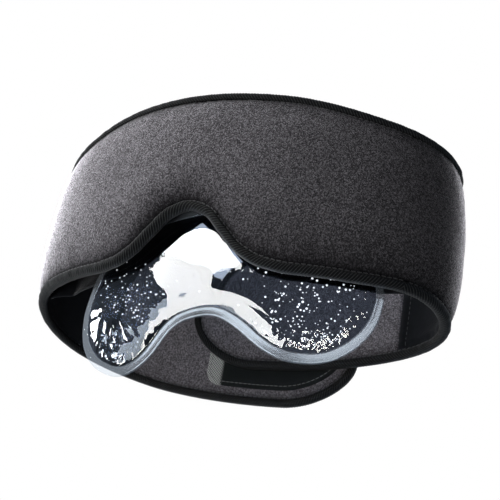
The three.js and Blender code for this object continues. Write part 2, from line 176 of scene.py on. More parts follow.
PLAN = {side: plan_curve(side) for side in (RIGHT, LEFT)}
droop_curve = {side: pchip(DROOP_AT, DROOP_Z[side]) for side in (RIGHT, LEFT)}
top_curve, bottom_curve = pchip(TOP_AT, TOP_Z), pchip(BOTTOM_AT, BOTTOM_Z)
flare_curve = pchip(FLARE_AT, FLARE)


def plan(along):
    """x, y of the middle of the cloth, then x, y of the outward direction."""
    along = np.asarray(along, float)
    reach = np.abs(along)
    x, y, heading = (
        np.where(along >= 0, np.interp(reach, PLAN_AT, right), np.interp(reach, PLAN_AT, left))
        for right, left in zip(PLAN[RIGHT], PLAN[LEFT]))
    side = np.where(along >= 0, 1.0, -1.0)
    return x * side, y, np.sin(heading) * side, -np.cos(heading)


def droop(along):
    reach = np.abs(along)
    return np.where(along >= 0, droop_curve[RIGHT](reach), droop_curve[LEFT](reach))


def top(along):
    return top_curve(np.abs(along)) + droop(along)


def bottom(along):
    return bottom_curve(np.abs(along)) + droop(along)


def middle(along):
    return (top(along) + bottom(along)) / 2


# the CAD model's origin in band coordinates; y is taken from one node's box
ORIGIN_X, ORIGIN_Z = 0.5051, -20.6329
TAIL_BACK_AT, TAIL_BACK_OFFSET = -300.0, 2.95
ORIGIN_Y = (float(plan(TAIL_BACK_AT)[1]) + TAIL_BACK_OFFSET
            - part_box("binding_left_tail")[1][1] * 1000)


def on_upright(along, z, offset):
    """Point in metres, with the offset measured from an upright wall."""
    x, y, out_x, out_y = plan(along)
    return np.stack([x + out_x * offset - ORIGIN_X, y + out_y * offset - ORIGIN_Y,
                     z - ORIGIN_Z + 0 * x], -1) * MM


def on_band(along, z, offset):
    """Point in metres, with the band's lean and full front included."""
    reach = np.abs(along)
    down = np.clip((top(along) - z) / np.maximum(top(along) - bottom(along), 1e-6), 0, 1)
    belly = FULLNESS * (1 - ease(reach, start=165, over=45)) * (1 - (2 * down - 1) ** 2)
    lean = z * np.tan(np.radians(flare_curve(reach)))
    return on_upright(along, z, offset + belly + lean)


# ---------------------------------------------------------------- outline
def resample(along, z, step):
    """Even steps along a path; also gives the running length."""
    along, z = np.asarray(along, float), np.asarray(z, float)
    length = running_length(np.diff(along), np.diff(z))
    count = max(2, int(round(length[-1] / step)) + 1)
    run = np.linspace(0, length[-1], count)
    return np.interp(run, length, along), np.interp(run, length, z), run


def edge_path(edge, start, end, step):
    """Along an edge, where edge is the function top or bottom."""
    along = np.linspace(start, end, max(2, int(abs(end - start) / 0.25)))
    return resample(along, edge(along), step)


def strap_path(side, start, step):
    """Along the top edge, round the strap tip and back along the bottom."""
    straight = np.linspace(start, STRAP_LENGTH[side] - TIP_LENGTH, 500)[:-1] * side
    turn = np.linspace(0, math.pi, 120)
    tip = (STRAP_LENGTH[side] - TIP_LENGTH + TIP_LENGTH * np.sin(turn)) * side
    tip_z = middle(tip) + (top(tip) - bottom(tip)) / 2 * np.cos(turn)
    along = np.concatenate([straight, tip, straight[::-1]])
    z = np.concatenate([top(straight), tip_z, bottom(straight[::-1])])
    return resample(along, z, step)


def inward(along, z):
    """Unit directions across a path, towards the middle of the band."""
    direction = np.gradient(np.stack([along, z]), axis=1)
    for _ in range(3):
        direction[:, 1:-1] = (direction[:, :-2] + direction[:, 1:-1] + direction[:, 2:]) / 3
    direction = direction / np.hypot(*direction)
    in_along, in_z = -direction[1], direction[0]
    if (middle(along[1]) - z[1]) * in_z[1] < 0:
        in_along, in_z = -in_along, -in_z
    return in_along, in_z


LEFT_RUN_START = 2000   # keeps left positions on the outline apart from right ones
_right, _left = (np.stack(strap_path(side, 0.0, OUTLINE_STEP), -1) for side in (RIGHT, LEFT))
_left[:, 2] += LEFT_RUN_START
OUTLINE = np.concatenate([_right, _left])   # along, z, running length
outline_tree = point_tree(OUTLINE[:, :2])


def edge_distance(along, z):
    """Distance to the band's outline, and where along it."""
    distance, position = np.empty(np.size(along)), np.empty(np.size(along))
    for i, (x, y) in enumerate(zip(np.ravel(along), np.ravel(z))):
        _, nearest, distance[i] = outline_tree.find((x, y, 0))
        position[i] = OUTLINE[nearest, 2]
    return distance.reshape(np.shape(along)), position.reshape(np.shape(along))


# ---------------------------------------------------------------- waviness
_random = np.random.default_rng(7)
# wave number, direction, phase, weight
WAVE_TERMS = [(2 * math.pi / _random.uniform(34, 80), _random.uniform(0, math.pi),
               _random.uniform(0, 6.28), _random.uniform(0.4, 1)) for _ in range(9)]
# wave number, phase, weight
PUCKER_TERMS = [(2 * math.pi / length, _random.uniform(0, 6.28), weight) for length, weight in
                ((2.9, .5), (4.1, .8), (5.3, 1), (7.7, 1), (11.0, .8), (17.0, .7))]


def waves(along, z):
    """Broad waves over the cloth."""
    total = 0
    for number, angle, phase, weight in WAVE_TERMS:
        across = along * math.cos(angle) + z * math.sin(angle)
        total = total + weight * np.sin(number * across + phase)
    return total / 3.0


def pucker(run):
    """Short uneven gathers along a seam."""
    total = 0
    for number, phase, weight in PUCKER_TERMS:
        total = total + weight * np.sin(number * run + phase + 1.3 * np.sin(0.11 * run + phase))
    return total / 2.0


def outer_offset(along, z, distance, position):
    """The outer face: gathered along its edge and fuller low on the front."""
    near_nose = bell(along, at=0, width=26.0) * np.exp(-np.maximum(z + 35, 0) / 200)
    low = ease(middle(along) - z, over=20)
    to_side = 1 - 0.75 * ease(np.abs(along), start=150, over=70)
    padding = (0.7 + 0.9 * low) * settle(distance - BINDING_REACH, over=11.0) * to_side
    pinch = 0.85 * near_nose * bell(distance, at=4.2, width=3.6)
    gathers = (0.10 + 0.14 * near_nose) * pucker(position) * bell(distance, at=5.4, width=3.0)
    broad = 0.28 * waves(along, z) * ease(distance, start=6, over=18)
    long_gathers = 0.10 * pucker(position * 0.31 + 40) * bell(distance, at=9, width=6.0)
    return padding - pinch + gathers + broad + long_gathers


def inner_offset(along, z, distance, position):
    """The inner face: a roll beside the binding and the two side seams."""
    total = 0.38 * bell(distance, at=8.0, width=1.9)
    total = total + 0.12 * pucker(position + 31) * bell(distance, at=5.6, width=2.6)
    total = total + 0.22 * waves(along + 90, z) * ease(distance, start=8, over=18)
    for side in (LEFT, RIGHT):
        past_seam = along - side * LINING_END
        total = total - 0.75 * bell(past_seam, at=0, width=0.7)             # seam groove
        total = total + 0.30 * bell(past_seam, at=-side * 2.6, width=1.5)   # roll beside it
        total = total - 0.22 * bell(past_seam, at=-side * 4.6, width=0.45)  # stitch groove
    return total


def face_offset(along, z, side):
    """How far the cloth face stands from the middle: it is pinched by the
    binding at the edge and rounds up into the padded middle."""
    distance, position = edge_distance(along, z)
    base = 1.25 + 1.15 * settle(distance - BINDING_REACH, over=3.3)
    detail = outer_offset if side == OUTSIDE else inner_offset
    return side * (base + detail(along, z, distance, position))


# ---------------------------------------------------------------- mesh makers
def make(name, verts, faces, uvs=None, sharp=(), edge=None):
    """Smooth-shaded object; sharp lists vertex pairs, edge is a value per vertex."""
    mesh = bpy.data.meshes.new(name)
    mesh.from_pydata([tuple(v) for v in verts], [], [tuple(f) for f in faces])
    mesh.validate()
    if uvs is not None:
        layer = mesh.uv_layers.new(name="UVMap")
        index = np.empty(len(mesh.loops), np.int32)
        mesh.loops.foreach_get("vertex_index", index)
        layer.data.foreach_set("uv", np.asarray(uvs, np.float32)[index].ravel())
    mesh.polygons.foreach_set("use_smooth", [True] * len(mesh.polygons))
    if edge is not None:
        attribute = mesh.attributes.new("edge", "FLOAT", "POINT")
        attribute.data.foreach_set("value", np.asarray(edge, np.float32))
    if len(sharp):
        pairs = {tuple(sorted(pair)) for pair in sharp}
        flags = [tuple(sorted(e.vertices)) in pairs for e in mesh.edges]
        attribute = (mesh.attributes.get("sharp_edge")
                     or mesh.attributes.new("sharp_edge", "BOOLEAN", "EDGE"))
        attribute.data.foreach_set("value", flags)
    ob = bpy.data.objects.new(name, mesh)
    bpy.context.scene.collection.objects.link(ob)
    return ob


def turn_outside_out(ob):
    """Flip the mesh if its volume is negative."""
    mesh = ob.data
    mesh.calc_loop_triangles()
    corners = np.empty(len(mesh.loop_triangles) * 3, np.int32)
    mesh.loop_triangles.foreach_get("vertices", corners)
    coords = np.empty(len(mesh.vertices) * 3, np.float32)
    mesh.vertices.foreach_get("co", coords)
    coords = coords.reshape(-1, 3).astype(float)
    a, b, c = coords[corners.reshape(-1, 3).T]
    if np.einsum("ij,ij->i", a, np.cross(b, c)).sum() < 0:
        mesh.flip_normals()


def make_solid(*args, **kwargs):
    ob = make(*args, **kwargs)
    turn_outside_out(ob)
    return ob


def collapse(face):
    """The face without its repeated corners."""
    corners = [face[0]]
    for v in face[1:]:
        if v != corners[-1] and v != corners[0]:
            corners.append(v)
    return corners


def shared_points(points, scale):
    """First index of each distinct point, and the point each index falls on."""
    key = np.round(points * scale).astype(np.int64)
    _, first, shared = np.unique(key, axis=0, return_index=True, return_inverse=True)
    return first, shared.ravel()


def grid_solid(name, face, back, uv, edge=None):
    """Closed solid between two facing grids (rows, columns, 3); coincident
    points are shared, and the border is a sharp edge."""
    rows, cols = face.shape[:2]
    points = np.concatenate([face.reshape(-1, 3), back.reshape(-1, 3)])
    first, shared = shared_points(points, 1e7)
    i, j = np.meshgrid(np.arange(rows - 1), np.arange(cols - 1), indexing="ij")
    corner = (i * cols + j).ravel()
    front_faces = np.stack([corner, corner + cols, corner + cols + 1, corner + 1], 1)
    back_faces = front_faces[:, ::-1] + rows * cols
    border = np.array(
        [i * cols for i in range(rows)]
        + [(rows - 1) * cols + j for j in range(1, cols)]
        + [i * cols + cols - 1 for i in range(rows - 2, -1, -1)]
        + list(range(cols - 2, 0, -1)))
    ahead = np.roll(border, -1)
    wall = np.stack([border, border + rows * cols, ahead + rows * cols, ahead], 1)
    faces = [collapse(f) for f in shared[np.concatenate([front_faces, back_faces, wall])]]
    faces = [f for f in faces if len(f) >= 3]
    # walls whose two sides coincide cancel (a fold line inside the sheet)
    seen = {}
    for n, f in enumerate(faces):
        seen.setdefault(tuple(sorted(f)), []).append(n)
    doubled = {n for same in seen.values() if len(same) > 1 for n in same}
    faces = [f for n, f in enumerate(faces) if n not in doubled]
    used = np.unique(np.concatenate(faces))
    remap = -np.ones(len(first), int)
    remap[used] = np.arange(len(used))
    faces = [[int(remap[v]) for v in f] for f in faces]
    sharp = [(int(remap[a]), int(remap[b])) for f in shared[wall]
             for a, b in ((f[0], f[3]), (f[1], f[2])) if remap[a] >= 0 and remap[b] >= 0]
    keep = first[used]
    uvs = np.concatenate([uv.reshape(-1, 2)] * 2)[keep]
    if edge is not None:
        edge = np.concatenate([edge.ravel()] * 2)[keep]
    return make_solid(name, points[keep], faces, uvs, sharp, edge)


def ring_solid(name, face, back, uv):
    """Solid from rings round a centre line: the last column closes on itself."""
    rows, cols = face.shape[:2]
    points = np.concatenate([face.reshape(-1, 3), back.reshape(-1, 3)])
    uvs = np.concatenate([uv.reshape(-1, 2)] * 2)
    first, shared = shared_points(points, 1e6)
    under = rows * cols
    quads = []
    for i in range(rows - 1):
        for j in range(cols - 1):
            a = i * cols + j
            quads.append((a, a + cols, a + cols + 1, a + 1))
            quads.append((under + a, under + a + 1, under + a + cols + 1, under + a + cols))
        a = i * cols
        quads.append((a, under + a, under + a + cols, a + cols))
    faces = [collapse(f) for f in shared[np.array(quads)].tolist()]
    ob = make(name, points[first], [f for f in faces if len(f) >= 3], uvs[first])
    # the halves meet on shared points; any open slit between them is filled
    bm = bmesh.new()
    bm.from_mesh(ob.data)
    bmesh.ops.remove_doubles(bm, verts=bm.verts, dist=2e-5)
    edges = [e for e in bm.edges if len(e.link_faces) == 1]
    if edges:
        bmesh.ops.holes_fill(bm, edges=edges, sides=0)
    bmesh.ops.recalc_face_normals(bm, faces=bm.faces)
    for f in bm.faces:
        f.smooth = True
    bm.to_mesh(ob.data)
    bm.free()
    turn_outside_out(ob)
    return ob


def tube(name, rings, uvs, sharp_ends=False):
    """Capped tube through rings of points (rings, points, 3)."""
    count, size = rings.shape[:2]
    last = (count - 1) * size
    i, j = np.meshgrid(np.arange(count - 1), np.arange(size), indexing="ij")
    a = (i * size + j).ravel()
    b = (i * size + (j + 1) % size).ravel()
    faces = np.stack([a, b, b + size, a + size], 1).tolist()
    faces.append(list(range(size)))
    faces.append([last + k for k in range(size)][::-1])
    sharp = [(end + k, end + (k + 1) % size) for end in (0, last) for k in range(size)]
    return make_solid(name, rings.reshape(-1, 3), faces, uvs.reshape(-1, 2),
                      sharp if sharp_ends else ())


# ---------------------------------------------------------------- band sheets
# Distances in from the edge at which the cloth is sampled, closest at the binding.
ROW_DISTANCES = np.array([
    0.7, 1.6, 2.6, 3.3, 3.8, 4.15, 4.5, 4.95, 5.5, 6.2, 7.0, 7.9, 8.9, 10.1, 11.5, 13.1, 15.0,
    17.2, 19.6, 22.2, 25.0, 28.0, 31.2, 34.6, 38.0])
HALF_HEIGHT = 40.0
ROWS = np.concatenate([ROW_DISTANCES / HALF_HEIGHT, [1.0]])   # 0 at the edge, 1 in the middle


def strip_grid(start, end, step=1.0):
    """Grid of (along, z) over the full height of the band."""
    count = max(3, int(round(abs(end - start) / step)) + 1)
    along = np.linspace(start, end, count)
    rows = np.concatenate([ROWS, (2 - ROWS[:-1])[::-1]])
    z_top, z_bottom = top(along), bottom(along)
    z = z_top[:, None] + (z_bottom - z_top)[:, None] * rows[None] / 2
    return np.repeat(along[:, None], len(rows), 1), z


def tip_grid(side, start):
    """Nested U rings of a strap from start to its tip."""
    along, z, _ = strap_path(side, start, 1.0)
    tip_start = STRAP_LENGTH[side] - TIP_LENGTH
    upper = np.arange(len(along) // 2)
    lower = len(along) - 1 - upper
    # straight part: pair the upper and lower runs on the same centre points
    straight = np.abs(along[upper]) <= tip_start
    along[lower[straight]] = along[upper[straight]]
    z[lower[straight]] = bottom(along[upper[straight]])
    centre = np.where(np.abs(along) > tip_start, side * tip_start, along)
    centre_z = middle(centre)
    centre[lower[~straight]] = side * tip_start
    return (along[:, None] + (centre - along)[:, None] * ROWS[None],
            z[:, None] + (centre_z - z)[:, None] * ROWS[None])


def sheet(name, grid, side):
    along, z = grid
    offset = face_offset(along, z, side)
    distance, _ = edge_distance(along, z)
    # the painted shade by the binding reaches less far into the upper half
    upper = ease(z - middle(along), over=12)
    edge = BINDING_REACH + (distance - BINDING_REACH) * (1 + 1.4 * upper)
    return grid_solid(name, on_band(along, z, offset),
                      on_band(along, z, offset - side * SHEET_THICKNESS),
                      np.stack([along, z], -1) * MM, edge)


# ---------------------------------------------------------------- binding
# Section of the folded tape, outer half: distance in from the edge, offset.
TAPE_OUTER = [(3.95, 1.62), (3.75, 2.02), (3.3, 2.38), (2.7, 2.66), (2.0, 2.82),
              (1.3, 2.78), (0.65, 2.52), (0.15, 2.05), (-0.15, 1.4), (-0.28, 0.7)]
TAPE_INNER = [(3.8, 1.42), (2.9, 1.95), (1.9, 2.2), (1.0, 1.95), (0.4, 1.2), (0.25, 0.4)]
SECTION = np.array(TAPE_OUTER + [(d, -o) for d, o in TAPE_OUTER[::-1]]
                   + [(d, -o) for d, o in TAPE_INNER] + TAPE_INNER[::-1])
RIBBED = 2 * len(TAPE_OUTER)      # section points on the visible side
SECTION_CENTRE = np.array([1.9, 0.0])
SECTION_ROUNDNESS = 0.8           # flattens the directions in which the ribs rise


def binding(name, path):
    along, z, run = path
    in_along, in_z = inward(along, z)
    count, size = len(along), len(SECTION)
    girth = running_length(*np.diff(SECTION[:RIBBED], axis=0).T)
    # twill ribs slanting across the tape, nearly flat at its two hems
    rib = np.zeros((count, size))
    ridge = np.abs(np.sin(math.pi * (run[:, None] + RIB_SLANT * girth[None]) / RIB_PITCH))
    fade = np.ones(RIBBED)
    fade[0] = fade[-1] = 0.2
    rib[:, :RIBBED] = (0.55 - ridge) * RIB_HEIGHT * fade
    rise = SECTION - SECTION_CENTRE
    rise[:, 1] *= SECTION_ROUNDNESS
    rise = rise / np.linalg.norm(rise, axis=1)[:, None]
    swell = 1 + 0.04 * pucker(run * 0.7 + 11)[:, None]
    distance = SECTION[None, :, 0] + rise[None, :, 0] * rib
    offset = SECTION[None, :, 1] * swell + rise[None, :, 1] * rib
    rings = on_band(along[:, None] + in_along[:, None] * distance,
                    z[:, None] + in_z[:, None] * distance, offset)
    around = np.concatenate([girth, girth[-1] + np.arange(1, size - RIBBED + 1)])
    uvs = np.stack([np.repeat(run[:, None], size, 1), np.repeat(around[None], count, 0)], -1)
    return tube(name, rings, uvs * MM, sharp_ends=True)


# ---------------------------------------------------------------- stitches
STITCH_LIFT = 0.05


def capsule(sides=6, rings=5):
    """One stitch along x: unit length and radius."""
    verts, faces = [], []
    for i in range(rings):
        t = i / (rings - 1)
        radius = math.sin(math.pi * (0.08 + 0.84 * t)) ** 0.45
        for k in range(sides):
            angle = 2 * math.pi * k / sides
            verts.append((t - 0.5, radius * math.cos(angle), radius * math.sin(angle)))
    for i in range(rings - 1):
        for k in range(sides):
            a, b = i * sides + k, i * sides + (k + 1) % sides
            faces.append((a, b, b + sides, a + sides))
    faces.append(tuple(range(sides))[::-1])
    faces.append(tuple((rings - 1) * sides + k for k in range(sides)))
    return np.array(verts), faces


def stitches(name, seams, pitch=2.9 * MM, length=2.2 * MM, radius=0.24 * MM):
    """seams: pairs of points and surface normals along each seam."""
    shape, shape_faces = capsule()
    verts, faces, base = [], [], 0
    for points, normals in seams:
        steps = np.linalg.norm(np.diff(points, axis=0), axis=1)
        run = np.concatenate([[0], np.cumsum(steps)])

        def sample(values, where):
            return np.array([np.interp(where, run, values[:, k]) for k in range(3)])
        for place in np.arange(pitch / 2, run[-1] - pitch / 2, pitch):
            forward = sample(points, place + length / 2) - sample(points, place - length / 2)
            forward /= np.linalg.norm(forward)
            normal = sample(normals, place)
            normal -= forward * (normal @ forward)
            normal /= np.linalg.norm(normal)
            across = np.cross(forward, normal)
            verts.append(sample(points, place) + shape[:, :1] * length * forward
                         + shape[:, 1:2] * radius * across
                         + shape[:, 2:3] * radius * 0.8 * normal)
            faces += [tuple(base + v for v in f) for f in shape_faces]
            base += len(shape)
    return make_solid(name, np.concatenate(verts), faces)


def seam_line(along, z, offset, side):
    points = on_band(along, z, offset)
    return points, (on_band(along, z, offset + side) - points) / MM


def cloth_seam(along, z, side):
    return seam_line(along, z, face_offset(along, z, side) + side * STITCH_LIFT, side)


# ---------------------------------------------------------------- shader graphs
class Graph:
    """A node tree under construction. An input given as a node or a socket
    is linked; anything else becomes the input's value."""

    def __init__(self, owner, output="OutputMaterial"):
        owner.use_nodes = True
        self.owner, self.tree = owner, owner.node_tree
        self.tree.nodes.clear()
        self.output = self.add(output)

    def add(self, kind, inputs=None, **settings):
        node = self.tree.nodes.new("ShaderNode" + kind)
        for key, value in settings.items():
            setattr(node, key, value)
        for key, value in (inputs or {}).items():
            if isinstance(value, bpy.types.Node):
                value = value.outputs[0]
            if isinstance(value, bpy.types.NodeSocket):
                self.tree.links.new(value, node.inputs[key])
            else:
                node.inputs[key].default_value = value
        return node

    def uv(self, scale=(1, 1, 1)):
        source = self.add("UVMap", uv_map="UVMap")
        return self.add("Mapping", {"Vector": source, "Scale": scale})

    def uv_noise(self, scale, detail, **more):
        return self.add("TexNoise", {"Vector": self.uv(scale), "Scale": 1.0,
                                     "Detail": detail, **more})

    def ramp(self, source, stops):
        """stops: position and colour, where a single number is a grey."""
        node = self.add("ValToRGB", {0: source})
        elements = node.color_ramp.elements
        while len(elements) > 1:
            elements.remove(elements[-1])
        for i, (position, color) in enumerate(stops):
            element = elements[0] if i == 0 else elements.new(position)
            element.position = position
            element.color = (*(color if isinstance(color, tuple) else (color,) * 3), 1)
        return node

    def math(self, operation, *inputs):
        return self.add("Math", dict(enumerate(inputs)), operation=operation)

    def vector(self, operation, *inputs):
        return self.add("VectorMath", dict(enumerate(inputs)), operation=operation)

    def mix_value(self, factor, first, second):
        return self.add("Mix", {0: factor, 2: first, 3: second}, data_type="FLOAT")

    def mix_color(self, factor, first, second, blend="MIX"):
        node = self.add("Mix", {0: factor, 6: first, 7: second}, data_type="RGBA",
                        blend_type=blend)
        return node.outputs[2]

    def multiply(self, first, second):
        return self.mix_color(1.0, first, second, blend="MULTIPLY")

    def mix_shader(self, factor, first, second):
        return self.add("MixShader", {0: factor, 1: first, 2: second})

    def bump(self, height, strength, distance, below=None, invert=False):
        """below is the bump that this one is laid over."""
        inputs = {"Height": height, "Strength": strength, "Distance": distance}
        if below is not None:
            inputs["Normal"] = below
        return self.add("Bump", inputs, invert=invert)

    def colored(self, kind, color, **more):
        return self.add(kind, {"Color": (*color, 1), **more})

    def finish(self, surface):
        self.tree.links.new(surface.outputs[0], self.output.inputs[0])
        return self.owner


def material(name):
    return Graph(bpy.data.materials.new(name))


def scaled(color, factor):
    return tuple(factor * c for c in color)


# ---------------------------------------------------------------- cloth materials
# Painted shade by distance from the binding: 0 at the binding, 1 well inside.
PAINTED_SHADE_OUTSIDE = [(0.0, 0.04), (0.045, 0.08), (0.09, 0.26), (0.20, 0.48), (0.45, 0.74), (1.0, 1.0)]
PAINTED_SHADE_INSIDE = [(0.0, 0.10), (0.045, 0.30), (0.09, 0.62), (0.20, 0.85), (0.45, 1.0), (1.0, 1.0)]
NO_PAINTED_SHADE = [(0.0, 1.0), (1.0, 1.0)]


def heather(name, dark, mid, light, sheen, seam):
    """Brushed melange knit: dark ground, paler fibres, fine nap. The seam argument is a ramp of
    painted shade by distance from the binding; seen edge on, the colour gets painted sheen.
    """
    graph = material(name)
    # the coordinates wander a little so that no rows show
    wobble = graph.uv_noise((900, 900, 1), detail=1.0)
    coords = graph.vector("MULTIPLY_ADD", wobble.outputs["Color"], (0.0005, 0.0005, 0), graph.uv())

    def cells(per_metre, channel):
        place = graph.vector("MULTIPLY", coords, (*per_metre, 1))
        pattern = graph.add("TexVoronoi", {"Vector": place, "Scale": 1.0},
                            voronoi_dimensions="2D")
        return graph.add("SeparateColor", {0: pattern.outputs["Color"]}).outputs[channel]
    stitch_cells = graph.mix_value(0.34, cells((2300, 1850), 0), cells((3500, 2700), 1))
    fibres = graph.uv_noise((900, 2600, 1), detail=2.0, Roughness=0.6)
    melange = graph.mix_value(0.26, stitch_cells, fibres)
    between = tuple(0.5 * (a + b) for a, b in zip(mid, light))
    cloth = graph.ramp(melange, [(0.22, dark), (0.50, mid), (0.66, between), (0.80, light)])
    patches = graph.uv_noise((70, 90, 1), detail=3.0, Roughness=0.55)
    color = graph.multiply(cloth, graph.ramp(patches, [(0.3, 0.92), (0.7, 1.07)]))
    # painted shade: colour and sheen darkened where the cloth dives under the binding
    edge = graph.add("Attribute", attribute_name="edge")
    inset = graph.add("MapRange", {"Value": edge.outputs["Fac"],
                                   "From Min": 3.6, "From Max": 25.6})
    painted_shade = graph.ramp(inset, seam)
    color = graph.multiply(color, painted_shade)
    # painted sheen: the colour is brightened up to eightfold where the cloth is seen edge on
    facing = graph.add("LayerWeight", {"Blend": 0.5}).outputs["Facing"]
    painted_edge_sheen = graph.math("MULTIPLY_ADD", graph.math("POWER", facing, 6.0), 7.0, 1.0)
    nap = graph.add("VectorMath", {0: color, "Scale": painted_edge_sheen}, operation="SCALE")
    fuzz = graph.ramp(melange, [(0.22, 0.12 * sheen), (0.5, 0.55 * sheen),
                                (0.78, min(1.0, 1.9 * sheen))])
    knit_bump = graph.bump(melange, strength=0.9, distance=0.00035)
    return graph.finish(graph.add("BsdfPrincipled", {
        "Base Color": nap,
        "Roughness": 0.85,
        "Specular IOR Level": 0.15,
        "Sheen Weight": graph.math("MULTIPLY", fuzz, painted_shade),
        "Sheen Roughness": 0.3,
        "Sheen Tint": (0.95, 0.94, 1.0, 1),
        "Normal": graph.bump(patches, strength=0.25, distance=0.0006, below=knit_bump),
    }))


def lining_material():
    graph = material("smooth_lining")
    base = (0.0030, 0.0032, 0.0037)
    weave = graph.add("TexWave", {"Vector": graph.uv((2400, 300, 1)), "Scale": 1.0,
                                  "Distortion": 1.2, "Detail": 2.0})
    mottle = graph.uv_noise((260, 340, 1), detail=4.0)
    weave_bump = graph.bump(weave.outputs["Fac"], strength=0.15, distance=0.0002)
    return graph.finish(graph.add("BsdfPrincipled", {
        "Base Color": graph.ramp(mottle, [(0.3, scaled(base, 0.75)), (0.7, scaled(base, 1.3))]),
        "Roughness": 0.5,
        "Specular IOR Level": 0.2,
        "Sheen Weight": 0.04,
        "Sheen Roughness": 0.4,
        "Normal": graph.bump(mottle, strength=0.2, distance=0.0004, below=weave_bump),
    }))


def binding_material():
    graph = material("twill_binding")
    # ribs at the same pitch and slant as the modelled ones: painted shade in the valleys and
    # painted highlight on the crests
    place = graph.add("SeparateXYZ", {0: graph.uv()})
    slanted = graph.math("MULTIPLY_ADD", place.outputs[1], RIB_SLANT, place.outputs[0])
    phase = graph.math("MULTIPLY", slanted, math.pi / (RIB_PITCH * MM))
    ridge = graph.math("ABSOLUTE", graph.math("SINE", phase))
    rib_shade_and_highlight = graph.ramp(ridge, [(0.0, (0.044, 0.045, 0.044)), (0.30, 0.017),
                                   (0.55, 0.0026), (1.0, 0.0006)])
    yarn = graph.uv_noise((700, 2600, 1), detail=3.0)
    return graph.finish(graph.add("BsdfPrincipled", {
        "Base Color": graph.multiply(rib_shade_and_highlight, graph.ramp(yarn, [(0.3, 0.45), (0.7, 1.5)])),
        "Roughness": 0.42,
        "Specular IOR Level": 0.14,
        "Sheen Weight": 0.015,
        "Sheen Roughness": 0.3,
        "Normal": graph.bump(yarn, strength=0.4, distance=0.00025),
    }))


def thread_material(name, base):
    graph = material(name)
    coords = graph.add("TexCoord").outputs["Generated"]
    fleck = graph.add("TexNoise", {"Vector": coords, "Scale": 3500.0, "Detail": 2.0})
    return graph.finish(graph.add("BsdfPrincipled", {
        "Base Color": graph.ramp(fleck, [(0.35, scaled(base, 0.6)), (0.65, scaled(base, 1.4))]),
        "Roughness": 0.55,
        "Sheen Weight": 0.3,
    }))


def hook_material():
    graph = material("hook_tape")
    hooks = graph.add("TexVoronoi", {"Vector": graph.uv((1400, 1400, 1)), "Scale": 1.0,
                                     "Randomness": 0.25}).outputs["Distance"]
    hook_color = graph.ramp(hooks, [(0.0, (0.0075, 0.0088, 0.0080)),
                                    (0.5, (0.0032, 0.0038, 0.0036)),
                                    (1.0, (0.0010, 0.0012, 0.0012))])
    # the woven, hook-free end of the tape is paler
    place = graph.add("SeparateXYZ", {0: graph.uv()})
    woven_end = graph.add("MapRange", {"Value": place.outputs[0], "From Min": -0.2640,
                                       "From Max": -0.2612}, interpolation_type="SMOOTHSTEP")
    weave = graph.add("TexChecker", {"Vector": graph.uv((1250, 1250, 1)), "Scale": 1.0,
                                     "Color1": (0.30, 0.31, 0.30, 1),
                                     "Color2": (0.03, 0.032, 0.03, 1)})
    return graph.finish(graph.add("BsdfPrincipled", {
        "Base Color": graph.mix_color(woven_end, hook_color, weave),
        "Roughness": 0.42,
        "Specular IOR Level": 0.2,
        "Sheen Weight": 0.02,
        "Normal": graph.bump(hooks, strength=0.6, distance=0.0003, invert=True),
    }))


# Each finish is a material and a slot name.
KNIT = (heather("heather_knit", dark=(0.012, 0.0115, 0.0125), mid=(0.028, 0.0265, 0.0285),
                light=(0.105, 0.101, 0.110), sheen=1.0, seam=PAINTED_SHADE_OUTSIDE), "heather_knit")
# the same knit as the outside, painted paler to stand in for the light that the inside of the wrap
# lacks
INNER_KNIT = (heather("heather_knit_inside", dark=(0.030, 0.0279, 0.0307),
                      mid=(0.062, 0.058, 0.063), light=(0.17, 0.161, 0.177), sheen=0.55,
                      seam=PAINTED_SHADE_INSIDE), "heather_knit")
LINING = (lining_material(), "smooth_lining")
TWILL = (binding_material(), "twill_binding")
black_thread = thread_material("black_thread", (0.022, 0.022, 0.023))
grey_thread = thread_material("grey_thread", (0.07, 0.072, 0.07))
HOOK = (hook_material(), "hook_tape")
LOOP = (heather("loop_tape", dark=(0.012, 0.012, 0.013), mid=(0.02, 0.02, 0.022),
                light=(0.045, 0.045, 0.048), sheen=0.5, seam=NO_PAINTED_SHADE), "loop_tape")


# ---------------------------------------------------------------- bodies and bends
def bend_y(along, shift):
    return (0.0, float(on_band(along, -10.0, 0.0)[1]) + shift, 0.0)


def bend_x(along):
    return (float(on_band(along, 0.0, 0.0)[0]), 0.0, 0.0)


# The two bodies each bend joins, then where it starts and ends.
BENDS = {
    "left": ("mask_front", "left_strap",
             bend_y(-FRONT_END, 0.002), bend_y(-LINING_END, -0.001)),
    "right": ("mask_front", "right_strap",
              bend_y(FRONT_END, 0.002), bend_y(LINING_END, -0.001)),
    "tail": ("left_strap", "left_tail", bend_x(-224.0), bend_x(-251.0)),
}


def dress(ob, finish, body, *replaced):
    """Give a piece its material and the body it rides on; a piece on a bend
    is only fixed in place. The CAD nodes it stands for are hidden."""
    look, slot = finish
    ob.data.materials.clear()
    ob.data.materials.append(look)
    if body in BENDS:
        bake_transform(ob)
    else:
        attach(ob, body)
    if replaced:
        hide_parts(*replaced)


